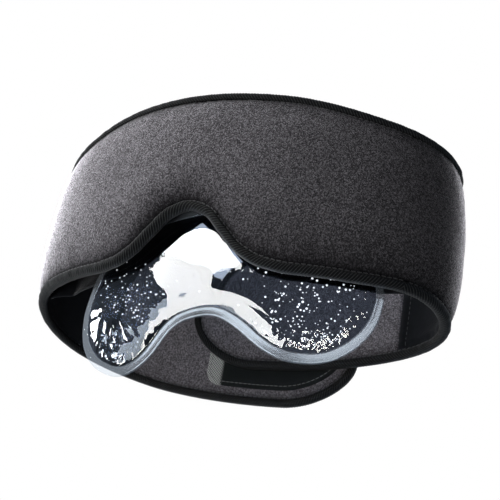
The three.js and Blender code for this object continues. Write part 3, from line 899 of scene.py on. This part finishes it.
# ---------------------------------------------------------------- band pieces
for name, grid, side, finish, body, *replaced in [
    ("front_cover", strip_grid(-FRONT_END, FRONT_END), OUTSIDE, KNIT, "mask_front",
     "outer_fabric_front", "foam_core_front"),
    ("left_cover", strip_grid(-FRONT_END, -TAIL_START), OUTSIDE, KNIT, "left",
     "outer_fabric_left", "foam_core_left"),
    ("left_tail_cover", tip_grid(LEFT, TAIL_START), OUTSIDE, KNIT, "tail",
     "outer_fabric_left_tail", "foam_core_left_tail"),
    ("right_cover", tip_grid(RIGHT, FRONT_END), OUTSIDE, KNIT, "right",
     "outer_fabric_right", "foam_core_right"),
    ("front_lining", strip_grid(-FRONT_END, FRONT_END, step=1.5), INSIDE, LINING, "mask_front",
     "lining_front"),
    ("left_lining", strip_grid(-FRONT_END, -LINING_END), INSIDE, LINING, "left",
     "lining_left"),
    ("left_strap_inner", strip_grid(-LINING_END - LINING_LAP, -TAIL_START, step=0.8), INSIDE,
     INNER_KNIT, "left", "inner_fabric_left"),
    ("left_tail_inner", tip_grid(LEFT, TAIL_START), INSIDE, INNER_KNIT, "tail",
     "inner_fabric_left_tail"),
    ("right_lining", strip_grid(FRONT_END, LINING_END), INSIDE, LINING, "right",
     "lining_right"),
    ("right_strap_inner", tip_grid(RIGHT, LINING_END + LINING_LAP), INSIDE, INNER_KNIT, "right",
     "inner_fabric_right"),
]:
    dress(sheet(name, grid, side), finish, body, *replaced)


def binding_seam(path, side, inset=4.35):
    """Stitch line on the cloth just past the binding."""
    along, z, _ = path
    in_along, in_z = inward(along, z)
    return cloth_seam(along + in_along * inset, z + in_z * inset, side)


for name, path, body, replaced in [
    ("front_top_binding", edge_path(top, -FRONT_END, FRONT_END, BINDING_STEP), "mask_front",
     "binding_top_front"),
    ("front_bottom_binding", edge_path(bottom, -FRONT_END, FRONT_END, BINDING_STEP),
     "mask_front", "binding_bottom_front"),
    ("left_top_binding", edge_path(top, -FRONT_END, -TAIL_START, BINDING_STEP), "left",
     "binding_top_left"),
    ("left_bottom_binding", edge_path(bottom, -FRONT_END, -TAIL_START, BINDING_STEP), "left",
     "binding_bottom_left"),
    ("left_tail_binding", strap_path(LEFT, TAIL_START, BINDING_STEP), "tail",
     "binding_left_tail"),
    ("right_binding", strap_path(RIGHT, FRONT_END, BINDING_STEP), "right", "binding_right"),
]:
    dress(binding(name, path), TWILL, body, replaced)
    seams = [binding_seam(path, side) for side in (OUTSIDE, INSIDE)]
    dress(stitches(name.replace("binding", "stitching"), seams, radius=0.26 * MM),
          (black_thread, TWILL[1]), body)

# topstitch beside the lining's side seams
for side, name in ((LEFT, "left"), (RIGHT, "right")):
    along = np.full(60, side * (LINING_END - 4.6))
    z = np.linspace(float(top(along[0])) - 5.0, float(bottom(along[0])) + 5.0, 60)
    dress(stitches(name + "_lining_stitching", [cloth_seam(along, z, INSIDE)]),
          (black_thread, LINING[1]), name)

# ---------------------------------------------------------------- hook and loop tapes
TAPE_ROWS = np.array([0, 0.02, 0.05, 0.09, 0.15, 0.25, 0.4, 0.6, 0.8, 1.0])
TAPE_INSET = 8.5          # from the strap's edge
TAPE_CORNER = 8.0         # radius of the corners at the square end
TAPE_OFFSET = 2.28        # where the tape lies on the cloth
TAPE_BURIED = 0.6
TAPE_SEAM_INSET = 2.4


def tape(name, strap, start, side, thickness, finish, body, replaced):
    along, z, _ = strap_path(strap, start, 0.8)
    in_along, in_z = inward(along, z)
    along, z = along + in_along * TAPE_INSET, z + in_z * TAPE_INSET
    keep = np.abs(along) >= start
    along, z = along[keep], z[keep]
    # round the corners of the square end
    to_corner = TAPE_CORNER - (np.abs(along) - start)
    drop = TAPE_CORNER - np.sqrt(np.maximum(TAPE_CORNER ** 2 - to_corner ** 2, 0))
    z = z - np.sign(z - middle(along)) * np.where(to_corner > 0, drop, 0)
    # close the outline across that end
    along, z, _ = resample(np.concatenate([along, np.full(29, along[0])]),
                           np.concatenate([z, np.linspace(z[-1], z[0], 30)[1:]]), 1.0)
    centre = np.clip(np.abs(along), start + 20, STRAP_LENGTH[strap] - TIP_LENGTH) * strap
    to_along, to_z = centre - along, middle(centre) - z
    width = np.hypot(to_along, to_z)
    grid = along[:, None] + to_along[:, None] * TAPE_ROWS[None]
    grid_z = z[:, None] + to_z[:, None] * TAPE_ROWS[None]
    distance = TAPE_ROWS[None] * width[:, None]
    # thin at its edge, with a shallow groove under the stitches
    height = (thickness * (1 - 0.55 * np.exp(-distance / 0.9))
              - 0.18 * bell(distance, at=TAPE_SEAM_INSET, width=0.6))
    ob = ring_solid(name, on_band(grid, grid_z, side * (TAPE_OFFSET + height)),
                    on_band(grid, grid_z, side * (TAPE_OFFSET - TAPE_BURIED)),
                    np.stack([grid, grid_z], -1) * MM)
    dress(ob, finish, body, replaced)
    inset = TAPE_SEAM_INSET / np.maximum(width, 1e-6)
    seam = seam_line(along + to_along * inset, z + to_z * inset,
                     side * (TAPE_OFFSET + thickness - 0.1), side)
    dress(stitches(name + "_stitching", [seam], pitch=2.7 * MM, length=2.1 * MM),
          (grey_thread, finish[1]), body)


tape("hook_tape_piece", LEFT, start=253.0, side=INSIDE, thickness=1.0, finish=HOOK,
     body="left_tail", replaced="hook_tape")
tape("loop_tape_piece", RIGHT, start=212.0, side=OUTSIDE, thickness=1.1, finish=LOOP,
     body="right_strap", replaced="loop_tape")

# ---------------------------------------------------------------- pocket
POCKET_HALF_WIDTH = 118.0
POCKET_DROP = 7                # below the band's top edge
POCKET_CLOTH_OFFSET = -2.65    # where it lies against the lining
POCKET_OPEN_OFFSET = -14.25    # where it stands off around the gel pack
POCKET_THICKNESS = 0.6
HEM_HALF_HEIGHT, HEM_HALF_THICKNESS = 1.25, 0.55


def mouth(along):
    """Lower edge of the pocket panel: it spans the nose arch as a flat tent."""
    tent = -12.6 - 0.70 * np.sqrt((along - 1.0) ** 2 + 0.3)
    share = ease(along, start=-36, over=10) * ease(-along, start=-44, over=10)
    low = bottom(along) + 2.4
    return low + (np.minimum(low, tent) - low) * share


def pocket_point(along, z, depth):
    """Blend from the lining at the pocket's borders to the open part."""
    open_share = (ease(POCKET_HALF_WIDTH - np.abs(along), over=17)
                  * ease(top(along) - POCKET_DROP - z, over=15))
    over_edge = ease(bottom(along) + 9 - z, over=4)
    closed = on_band(along, z, POCKET_CLOTH_OFFSET - over_edge - depth)
    sag = 0.25 * np.sin(along * 0.16 + 0.4) + 0.2 * np.sin(along * 0.37 + z * 0.05)
    sag = sag * ease(z - bottom(along), over=20)
    opened = on_upright(along, z, POCKET_OPEN_OFFSET - depth + sag)
    return closed + (opened - closed) * open_share[..., None]


def pocket_panel():
    along = np.linspace(-POCKET_HALF_WIDTH, POCKET_HALF_WIDTH, 260)
    high, low = (top(along) - POCKET_DROP)[:, None], mouth(along)[:, None]
    z = high + (low - high) * np.linspace(0, 1, 46)[None]
    along = np.repeat(along[:, None], 46, 1)
    return grid_solid("pocket_lining", pocket_point(along, z, 0.0),
                      pocket_point(along, z, POCKET_THICKNESS), np.stack([along, z], -1) * MM)


def pocket_hem():
    """Hem roll along the pocket mouth."""
    along = np.linspace(-POCKET_HALF_WIDTH + 1, POCKET_HALF_WIDTH - 1, 420)
    z = mouth(along) + 0.2
    depth = POCKET_THICKNESS / 2
    centre = pocket_point(along, z, depth)

    def towards(points):
        return ((points - centre) / np.linalg.norm(points - centre, axis=1)[:, None])[:, None]
    upward = towards(pocket_point(along, z + 1.0, depth))
    through = towards(pocket_point(along, z, depth + 1.0))
    angle = np.linspace(0, 2 * math.pi, 13)[:-1]
    rings = (centre[:, None]
             + upward * (np.cos(angle) * HEM_HALF_HEIGHT * MM)[None, :, None]
             + through * (np.sin(angle) * HEM_HALF_THICKNESS * MM)[None, :, None])
    uvs = np.stack([np.repeat(along[:, None], len(angle), 1),
                    np.repeat(angle[None], len(along), 0)], -1)
    return tube("pocket_hem", rings, uvs * MM)


dress(pocket_panel(), LINING, "mask_front", "pocket_panel")
dress(pocket_hem(), LINING, "mask_front")

# ---------------------------------------------------------------- gel pack outline
PACK_ALONG, PACK_Z, PACK_OFFSET = 18.0, -59.0, -8.6
PACK_TILT = math.radians(7.0)
RIM_WIDTH = 4.6
# Pack coordinates: u to the right, v up. Upper edge from left to right.
PACK_UPPER = [
    (-84, 2), (-84.4, 8), (-82.5, 17), (-79, 26), (-72.5, 35), (-61, 43), (-45, 49.5),
    (-25, 53), (0, 54), (25, 53.6), (46, 50.5), (63, 44), (75.5, 34.5), (83, 23),
    (86.3, 12.4), (87.1, 5), (86.2, 0)]
# Lower edge from right to left, with the nose arch in the middle.
PACK_LOWER = [
    (83.6, -7.3), (79.4, -13.6), (74.2, -18.8), (68.8, -22.8), (63.5, -25.7), (59, -27.6),
    (51.8, -29), (44.7, -28.9), (39.9, -28.4), (35.1, -27.2), (30.4, -25.1), (25.5, -22.2),
    (20.2, -18.2), (15.5, -14), (10.1, -10), (4.7, -6.8), (-0.3, -5.3), (-5.6, -5.3),
    (-10.9, -6.1), (-16.3, -7.8), (-21.4, -11.2), (-26.3, -17), (-31.3, -23.2), (-39.6, -29),
    (-48.9, -31.2), (-59.5, -28.5), (-70.6, -22), (-79.2, -12.3), (-83, -3.5)]
# Distances in from the edge at which the mesh follows the outline.
PACK_RINGS = (0.45, 1.0, 1.8, 2.7, 3.5, 4.1, 4.5, 4.9, 5.4, 6.0, 6.8, 7.7, 8.7, 9.8)
PACK_GRID = 1.0


def closed_spline(corners, step):
    """Closed Catmull-Rom curve, eased and evenly sampled."""
    corners = np.array(corners, float)
    curve = []
    for i in range(len(corners)):
        p0, p1, p2, p3 = (corners[(i + k) % len(corners)] for k in (-1, 0, 1, 2))
        for t in np.linspace(0, 1, 24, endpoint=False):
            curve.append(0.5 * ((2 * p1) + (-p0 + p2) * t
                                + (2 * p0 - 5 * p1 + 4 * p2 - p3) * t * t
                                + (-p0 + 3 * p1 - 3 * p2 + p3) * t ** 3))
    curve = np.array(curve)
    for _ in range(40):   # ease small kinks
        curve = (np.roll(curve, 1, 0) + 2 * curve + np.roll(curve, -1, 0)) / 4
    curve = np.vstack([curve, curve[:1]])
    steps = np.linalg.norm(np.diff(curve, axis=0), axis=1)
    length = np.concatenate([[0], np.cumsum(steps)])
    run = np.linspace(0, length[-1], int(length[-1] / step), endpoint=False)
    return np.stack([np.interp(run, length, curve[:, k]) for k in (0, 1)], 1)


pack_edge = closed_spline(PACK_UPPER + PACK_LOWER, 0.9)[::-1]   # anticlockwise
fine_edge = closed_spline(PACK_UPPER + PACK_LOWER, 0.25)
fine_tree = point_tree(fine_edge)


def rim_distance(points):
    return np.array([fine_tree.find((x, y, 0))[2] for x, y in points])


def inside_pack(points):
    x, y = points[:, 0], points[:, 1]
    polygon = fine_edge[::4]
    result = np.zeros(len(points), bool)
    for (x0, y0), (x1, y1) in zip(polygon, np.roll(polygon, -1, 0)):
        if y0 != y1:
            crosses = (y0 > y) != (y1 > y)
            result ^= crosses & (x < (x1 - x0) * (y - y0) / (y1 - y0) + x0)
    return result


def pack_mesh():
    """Flat triangle mesh: rings along the edge, an even grid within."""
    tangent = np.roll(pack_edge, -1, 0) - np.roll(pack_edge, 1, 0)
    tangent /= np.linalg.norm(tangent, axis=1)[:, None]
    across = np.stack([-tangent[:, 1], tangent[:, 0]], 1)
    parts = [pack_edge]
    for distance in PACK_RINGS:
        ring = pack_edge + across * distance
        parts.append(ring[np.abs(rim_distance(ring) - distance) < 0.12])
    columns = np.arange(-86, 89, PACK_GRID)
    rows = np.arange(-33, 56, PACK_GRID * 0.866)
    grid = np.array([(x + (PACK_GRID / 2 if j % 2 else 0), y)
                     for j, y in enumerate(rows) for x in columns])
    grid = grid[inside_pack(grid)]
    parts.append(grid[rim_distance(grid) > 10.6])
    points = [Vector(p) for p in np.concatenate(parts)]
    count = len(pack_edge)
    border = [(i, (i + 1) % count) for i in range(count)]
    result = delaunay_2d_cdt(points, border, [], 1, 1e-4)
    return np.array([tuple(v) for v in result[0]]), [tuple(f) for f in result[2]]


pack_points, pack_faces = pack_mesh()
pack_u, pack_v = pack_points[:, 0], pack_points[:, 1]
from_edge = rim_distance(pack_points)
past_rim = from_edge - RIM_WIDTH
filled = past_rim > 0


# ---------------------------------------------------------------- gel pack relief
def pack_noise(seed, count, shortest, longest):
    """Sum of sine waves with lengths in the given range."""
    random = np.random.default_rng(seed)
    total = np.zeros_like(pack_u)
    for _ in range(count):
        number = 2 * math.pi / random.uniform(shortest, longest)
        angle = random.uniform(0, math.pi)
        across = pack_u * math.cos(angle) + pack_v * math.sin(angle)
        total += np.sin(number * across + random.uniform(0, 6.28))
    return total / math.sqrt(count)


def crease(x):
    """Sharp ridges with wide valleys."""
    return 1 - 2 * np.abs(np.clip(x, -1.4, 1.4)) / 1.4


def blob(at, size):
    """Soft spot on the pack, 1 at its centre."""
    return np.exp(-((pack_u - at[0]) / size[0]) ** 2 - ((pack_v - at[1]) / size[1]) ** 2)


def pack_dome():
    """0 at the rim and 1 inside; it rises more softly in the middle of the pack."""
    t = np.clip(past_rim / 19.0, 0, 1)
    span = blob(at=(8, 5), size=(38, 60))
    return np.clip(1 - (1 - t) ** 2, 0, 1) ** (0.5 + 0.5 * np.clip(1.25 * span, 0, 1))


def wrinkles():
    """Film wrinkles: fans at the lobes' lower ends, long soft folds over the bridge."""
    left_fan = blob(at=(-58, -14), size=(26, 15))
    right_fan = blob(at=(58, -17), size=(30, 9)) + 0.8 * blob(at=(78, 2), size=(9, 18))
    angle = np.arctan2(pack_v - 12, pack_u + 52)
    radius = np.hypot(pack_v - 12, pack_u + 52)
    left_folds = crease(np.sin(angle * 10 + 1.9 * np.sin(radius * 0.17 + 0.8)) * 0.65
                        + 0.65 * pack_noise(3, count=10, shortest=6, longest=13))
    slanted = 0.62 * pack_u + 1.1 * pack_v + 1.5 * np.sin(0.13 * pack_u)
    right_folds = crease(np.sin(slanted) * 0.7
                         + 0.5 * pack_noise(5, count=10, shortest=3.5, longest=8))
    swell = pack_noise(9, count=9, shortest=24, longest=60)
    ripple = pack_noise(12, count=8, shortest=9, longest=18)
    crumple = (crease(0.9 * pack_noise(61, count=7, shortest=4.5, longest=8))
               + 0.5 * pack_noise(62, count=6, shortest=2.6, longest=4.5))
    low_left = bell(past_rim, at=3.5, width=3.6) * blob(at=(-58, -22), size=(26, 14))
    low_right = bell(past_rim, at=3.5, width=3.2) * np.clip(
        blob(at=(58, -24), size=(26, 14)) + blob(at=(82, -2), size=(12, 16)), 0, 1)
    # two smooth patches on the left lobe
    calm = ((1 - 0.9 * blob(at=(-66, 1), size=(8.5, 7.5)))
            * (1 - 0.85 * blob(at=(-37, -4), size=(11, 14))))
    bend = 0.9 * pack_noise(33, count=6, shortest=14, longest=30)
    arch_folds = crease(np.sin(2 * math.pi * (from_edge - 0.05 * pack_u) / 5.2 + bend))
    ripple_share = (0.25 + left_fan * calm + right_fan
                    + 0.8 * blob(at=(22, -6), size=(14, 9))
                    + 0.2 * blob(at=(-30, -8), size=(10, 8)))
    # heights in mm of each kind of wrinkle
    return (0.55 * left_fan * left_folds * calm
            + 0.34 * right_fan * right_folds
            + 0.26 * swell
            + (0.62 * low_left * calm + 0.85 * low_right) * crumple
            + 0.17 * blob(at=(17, -9), size=(20, 9)) * arch_folds
            + 0.10 * ripple * ripple_share)


GEL_HEIGHT, GEL_MAX, GEL_MIN = 3.4, 3.75, 0.02
dome = pack_dome()
lobes = 0.80 + 0.20 * (blob(at=(-52, 0), size=(34, 40)) + blob(at=(52, 2), size=(34, 40)))
fill = GEL_HEIGHT * dome * np.clip(lobes, 0, 1)
wrinkle_share = ease(past_rim, over=3.0) * dome
back_waves = 0.25 * pack_noise(21, count=8, shortest=12, longest=40)


def gel_height(height):
    return np.minimum(np.where(filled, np.maximum(height, GEL_MIN), 0.0), GEL_MAX)


front_height = gel_height(fill + wrinkles() * wrinkle_share)
back_height = gel_height(fill * 0.95 + back_waves * wrinkle_share)
# welded rim: flat, with a fine bead on each side of the weld
bead = 0.16 * bell(past_rim, at=-0.4, width=0.45) + 0.12 * bell(from_edge, at=0.7, width=0.5)
rim_height = 0.42 + bead * (from_edge < RIM_WIDTH + 1.2)
rim_height = rim_height * np.sqrt(np.clip(from_edge / 0.45, 0.08, 1))


def pack_xyz(u, v, offset):
    along = PACK_ALONG + u * math.cos(PACK_TILT) - v * math.sin(PACK_TILT)
    z = PACK_Z + u * math.sin(PACK_TILT) + v * math.cos(PACK_TILT)
    return on_upright(along, z, PACK_OFFSET + offset)


def lens_solid(name, front, back, faces):
    """Solid between two offsets over some of the pack's faces."""
    used = np.unique(np.array(faces))
    count = len(used)
    remap = -np.ones(len(pack_points), int)
    remap[used] = np.arange(count)
    faces = [tuple(int(remap[v]) for v in f) for f in faces]
    edges = [pair for f in faces for pair in zip(f, f[1:] + f[:1])]
    known = set(edges)
    walls = [(b, a, count + a, count + b) for a, b in edges if (b, a) not in known]
    under = [tuple(count + v for v in f[::-1]) for f in faces]
    points = np.concatenate([pack_xyz(pack_u, pack_v, offset)[used] for offset in (front, back)])
    uvs = np.concatenate([pack_points[used]] * 2) * MM
    return make_solid(name, points, faces + under + walls, uvs)


WELD_END = 0.32      # past the rim, where weld gives way to film
GEL_START = 0.2
FILM_GAP = 0.12      # from the gel to the film's inner face
weld_faces = [f for f in pack_faces if max(past_rim[list(f)]) < WELD_END]
film_faces = [f for f in pack_faces if max(past_rim[list(f)]) >= WELD_END]
gel_faces = [f for f in pack_faces if min(past_rim[list(f)]) > GEL_START]
half_rim = 0.06 + rim_height * 0.9
weld = lens_solid("gel_weld", half_rim, -half_rim, weld_faces)
film_front = lens_solid("gel_film_front_piece", half_rim + front_height,
                        0.03 + np.where(filled, front_height + FILM_GAP, 0.0), film_faces)
film_back = lens_solid("gel_film_back_piece",
                       -0.03 - np.where(filled, back_height + FILM_GAP, 0.0),
                       -half_rim - back_height, film_faces)
gel = lens_solid("gel_body", np.maximum(front_height - GEL_MIN, GEL_MIN),
                 -np.maximum(back_height - GEL_MIN, GEL_MIN), gel_faces)


# ---------------------------------------------------------------- pack materials
def film_graph(name, roughness, reflection, tint, shine, base_shine, milky=False):
    """Thin clear film: shine scales its Fresnel reflection and base_shine adds to it."""
    graph = material(name)
    ripple = graph.uv_noise((220, 220, 1), detail=2.0)
    normal = graph.bump(ripple, strength=0.08, distance=0.0004)
    fresnel = graph.add("Fresnel", {"IOR": 1.46, "Normal": normal})
    surface = graph.mix_shader(
        graph.math("MULTIPLY_ADD", fresnel, shine, base_shine),
        graph.colored("BsdfTransparent", tint),
        graph.colored("BsdfGlossy", reflection, Roughness=roughness, Normal=normal))
    if milky:
        haze = graph.colored("BsdfDiffuse", (0.72, 0.80, 0.88))
        surface = graph.mix_shader(0.05, surface, haze)
    # back faces and shadows only see a clear sheet
    hidden = graph.math("MAXIMUM", graph.add("NewGeometry").outputs["Backfacing"],
                        graph.add("LightPath").outputs["Is Shadow Ray"])
    clear = graph.colored("BsdfTransparent", (0.97, 0.98, 0.99))
    return graph.finish(graph.mix_shader(hidden, surface, clear))


def film_material(shine):
    return film_graph("clear_film", roughness=0.02, reflection=(0.97, 0.985, 1.0),
                      tint=(0.985, 0.992, 1.0), shine=shine, base_shine=0.0)


def weld_material():
    return film_graph("clear_film_weld", roughness=0.22, reflection=(0.90, 0.95, 1.0),
                      tint=(0.93, 0.955, 0.98), shine=1.0, base_shine=0.16, milky=True)


def gel_material():
    graph = material("clear_gel")
    return graph.finish(graph.mix_shader(
        graph.add("LightPath").outputs["Is Shadow Ray"],
        graph.colored("BsdfRefraction", (0.62, 0.66, 0.73), Roughness=0.0, IOR=1.18),
        graph.colored("BsdfTransparent", (0.9, 0.93, 0.97))))


def bubble_material():
    graph = material("gel_bubbles")
    # painted glow and painted reflection: each bubble is a faintly glowing white shell, most solid
    # at its centre and rim
    facing = graph.add("LayerWeight", {"Blend": 0.35}).outputs["Facing"]
    glow = graph.add("BsdfPrincipled", {
        "Roughness": 0.12,
        "Base Color": (0.95, 0.96, 0.96, 1),
        "Emission Color": (1, 0.95, 0.86, 1),
        "Emission Strength": 1.0,
    })
    return graph.finish(graph.mix_shader(
        graph.ramp(facing, [(0.0, 0.75), (0.25, 0.3), (0.6, 0.5), (1.0, 0.95)]),
        graph.add("BsdfTransparent"), glow))


dress(film_front, (film_material(shine=1.0), "clear_film"), "gel_pack", "gel_film_front")
dress(film_back, (film_material(shine=0.22), "clear_film"), "gel_pack", "gel_film_back")
dress(weld, (weld_material(), "clear_film"), "gel_pack")
dress(gel, (gel_material(), "clear_gel"), "gel_pack", "gel_fill")

# ---------------------------------------------------------------- bubbles
# count, centre (u, v), spread (u, v), smallest and largest radius
BUBBLE_CLOUDS = [
    (150, (50, 3), (15, 11), 0.22, 0.62),
    (50, (40, -14), (22, 6), 0.2, 0.5),
    (130, (-46, 4), (14, 13), 0.2, 0.55),
    (50, (-58, -14), (12, 7), 0.2, 0.5),
    (18, (5, 14), (20, 12), 0.25, 0.6),
    (70, (60, -19), (16, 3.5), 0.2, 0.45),
]


def scatter_bubbles(random):
    """(u, v, radius) of each bubble, clear of the rim."""
    spots = []
    for count, centre, spread, smallest, largest in BUBBLE_CLOUDS:
        placed = 0
        while placed < count:
            u = random.normal(centre[0], spread[0])
            v = random.normal(centre[1], spread[1])
            spot = np.array([[u, v]])
            if not inside_pack(spot)[0] or rim_distance(spot)[0] < RIM_WIDTH + 2.0:
                continue
            radius = smallest + (largest - smallest) * random.random() ** 2.2
            spots.append((u, v, radius))
            placed += 1
    return spots


def bubbles():
    random = np.random.default_rng(41)
    bm = bmesh.new()
    bmesh.ops.create_icosphere(bm, subdivisions=2, radius=1.0)
    ball = np.array([v.co[:] for v in bm.verts])
    ball_faces = [tuple(v.index for v in f.verts) for f in bm.faces]
    bm.free()
    pack_tree = point_tree(pack_points)
    verts, faces, base = [], [], 0
    for u, v, radius in scatter_bubbles(random):
        nearest = pack_tree.find((u, v, 0))[1]
        room = min(front_height[nearest], back_height[nearest]) - radius - 0.25
        if room < 0.05:
            continue
        centre = pack_xyz(u, v, random.uniform(-0.2, 1) * room)
        verts.append(centre + ball * radius * MM)
        faces += [tuple(base + k for k in f) for f in ball_faces]
        base += len(ball)
    return make("gel_bubbles", np.concatenate(verts), faces)


bubble_cluster = bubbles()
dress(bubble_cluster, (bubble_material(), "clear_gel"), "gel_pack")

# ---------------------------------------------------------------- camera
scene = bpy.context.scene


def link(ob):
    scene.collection.objects.link(ob)
    return ob


def direction(azimuth, elevation):
    """Unit vector; azimuth in degrees from -Y towards +X."""
    a, e = math.radians(azimuth), math.radians(elevation)
    return Vector((math.sin(a) * math.cos(e), -math.cos(a) * math.cos(e), math.sin(e)))


CAMERA_AZIMUTH, CAMERA_ELEVATION = 24.577, -21.871
CAMERA_ROLL = math.radians(9.774)
CAMERA_DISTANCE = 0.5094
CAMERA_CENTRE_Y = 95                            # band coordinates, in mm
CAMERA_LENS, SENSOR_WIDTH = 62.185514, 36.0     # mm
AIM_RIGHT, AIM_UP = -0.013523407, 0.016510598   # aim off the centre, as slopes


def place_camera():
    centre = Vector((-ORIGIN_X * MM, (CAMERA_CENTRE_Y - ORIGIN_Y) * MM, -ORIGIN_Z * MM))
    back = direction(CAMERA_AZIMUTH, CAMERA_ELEVATION)
    level = direction(CAMERA_AZIMUTH + 90, 0)
    upward = back.cross(level)
    right = level * math.cos(CAMERA_ROLL) + upward * math.sin(CAMERA_ROLL)
    above = upward * math.cos(CAMERA_ROLL) - level * math.sin(CAMERA_ROLL)
    eye = centre + back * CAMERA_DISTANCE
    z_axis = (back - right * AIM_RIGHT - above * AIM_UP).normalized()
    x_axis = above.cross(z_axis).normalized()
    y_axis = z_axis.cross(x_axis)
    data = bpy.data.cameras.new("camera")
    data.sensor_width = SENSOR_WIDTH
    data.lens = CAMERA_LENS
    data.clip_start, data.clip_end = 0.01, 50
    camera = link(bpy.data.objects.new("camera", data))
    camera.matrix_world = Matrix(
        [(x_axis[i], y_axis[i], z_axis[i], eye[i]) for i in range(3)] + [(0, 0, 0, 1)])
    scene.camera = camera


place_camera()


# ---------------------------------------------------------------- floor and world
def flat_shape(name, corners):
    mesh = bpy.data.meshes.new(name)
    mesh.from_pydata(corners, [], [tuple(range(len(corners)))])
    ob = link(bpy.data.objects.new(name, mesh))
    return ob


def floor(half_size=20.0, z=-0.108):
    """Pale floor under the object; it can't be seen from underneath."""
    ob = flat_shape("floor", [(x * half_size, y * half_size, z)
                              for x, y in ((-1, -1), (1, -1), (1, 1), (-1, 1))])
    ob.visible_glossy = ob.visible_diffuse = ob.visible_shadow = False
    graph = material("floor")
    lit = graph.add("AddShader", {
        0: graph.colored("BsdfDiffuse", (0.10, 0.10, 0.10)),
        1: graph.colored("Emission", (0.84, 0.845, 0.85), Strength=1.0),
    })
    ob.data.materials.append(graph.finish(graph.mix_shader(
        graph.add("NewGeometry").outputs["Backfacing"], lit, graph.add("BsdfTransparent"))))


def studio():
    """White to the camera, dim blue in reflections, nearly dark as a light."""
    world = bpy.data.worlds.new("studio")
    scene.world = world
    graph = Graph(world, "OutputWorld")
    path = graph.add("LightPath").outputs
    lighting = graph.mix_shader(
        path["Is Glossy Ray"],
        graph.colored("Background", (0.97, 0.98, 1.0), Strength=0.08),
        graph.colored("Background", (0.66, 0.80, 1.0), Strength=0.28))
    seen = graph.math("MAXIMUM", path["Is Camera Ray"], path["Is Transmission Ray"])
    graph.finish(graph.mix_shader(
        seen, lighting, graph.colored("Background", (1, 1, 1), Strength=1.0)))


floor()
studio()

# ---------------------------------------------------------------- lights
LIGHT_DISTANCE = 1.1
PACK_CENTRE = Vector((0.0145, -0.042, -0.03))
CARD_DIRECTION = Vector((-0.273, -0.887, 0.3725)).normalized()


def light_card(name, corners, behind, strength):
    """White card facing the pack, seen only as a reflection. The corners are
    metres across and up, from a point in front of the pack."""
    across = Vector((0, 0, 1)).cross(CARD_DIRECTION).normalized()
    upward = CARD_DIRECTION.cross(across)
    centre = PACK_CENTRE + CARD_DIRECTION * (LIGHT_DISTANCE + behind)
    ob = flat_shape(name, [tuple(centre + across * u + upward * v) for u, v in corners])
    graph = material(name)
    glow = graph.colored("Emission", (1.0, 0.995, 0.985), Strength=strength)
    ob.data.materials.append(graph.finish(glow))
    ob.visible_camera = ob.visible_diffuse = ob.visible_transmission = False
    ob.visible_shadow = ob.visible_volume_scatter = False
    return ob


def receivers(name, *objects):
    collection = bpy.data.collections.new(name)
    for ob in objects:
        collection.objects.link(ob)
    return collection


def softbox(name, towards, size, power, target=(0.0, 0.0, 0.0), color=(1, 1, 1)):
    data = bpy.data.lights.new(name, "AREA")
    data.shape = "RECTANGLE"
    data.size, data.size_y = size
    data.energy = power
    data.color = color
    ob = link(bpy.data.objects.new(name, data))
    towards = Vector(towards).normalized()
    ob.location = Vector(target) + towards * LIGHT_DISTANCE
    ob.rotation_mode = "QUATERNION"
    ob.rotation_quaternion = (-towards).to_track_quat("-Z", "Y")
    return ob


cards = [
    light_card("light_card", [
        (-0.74, 0.19), (-0.66, 0.46), (-0.44, 0.74), (0.188, 0.10), (0.195, 0.01),
        (0.06, -0.06), (0.09, -0.38), (0.26, -0.52), (0.42, -0.8), (0.50, -2.2),
        (0.10, -2.2), (0.06, -0.75), (0.0, -0.40), (-0.21, -0.15)], behind=0.0, strength=24.0),
    light_card("light_card_edge", [
        (-0.76, 0.22), (-0.52, 1.0), (0.185, 0.13), (0.12, -0.08), (-0.21, -0.15)],
        behind=0.02, strength=12.5),
]
weld_only = receivers("weld_only", weld)
film_only = receivers("film_only", film_front, film_back, bubble_cluster)
for card in cards:
    card.light_linking.receiver_collection = film_only

# Lights for the cloth, kept out of reflections: azimuth, elevation, size, power.
for name, azimuth, elevation, size, power in [
    ("left_key", -64, 24, 0.5, 46),
    ("left_edge", -114, -24, 0.4, 66),
    ("right_edge", 146, 10, 0.5, 15),
    ("right_back", 165, 8, 0.4, 4),
    ("right_rim", 155, -5, 0.3, 14),
    ("front_fill", -34, 22, 0.5, 5),
    ("under_fill", -16, -32, 0.5, 12),
]:
    light = softbox(name, direction(azimuth, elevation), (size, size), power)
    light.visible_glossy = False

# Reflections on the pack: direction, size, power, colour, what receives them.
WELD_TINT = (0.86, 0.93, 1.0)
WARM = (1, 0.98, 0.90)
for name, towards, size, power, color, receiver in [
    ("weld_shine_right", (0.66, -0.74, -0.05), (0.9, 1.1), 7, WELD_TINT, weld_only),
    ("weld_shine_front", (-0.25, -0.93, 0.1), (0.9, 1.0), 10, WELD_TINT, weld_only),
    ("low_shine", (-0.70, -0.62, -0.32), (0.34, 0.30), 6.0, (1, 0.99, 0.95), film_only),
    ("low_haze", (-0.60, -0.76, -0.15), (0.9, 0.6), 13.0, (0.80, 0.90, 1.0), film_only),
    ("lobe_shine", (-0.975, -0.05, 0.16), (0.28, 0.14), 2.8, (1, 1, 1), film_only),
    ("right_shine", (0.52, -0.80, -0.30), (0.30, 0.34), 8.0, WARM, film_only),
    ("right_shine_2", (0.78, -0.60, -0.12), (0.26, 0.34), 7.0, WARM, film_only),
]:
    light = softbox(name, towards, size, power, target=PACK_CENTRE, color=color)
    light.visible_diffuse = False
    light.light_linking.receiver_collection = receiver
scene.view_settings.view_transform = "Standard"
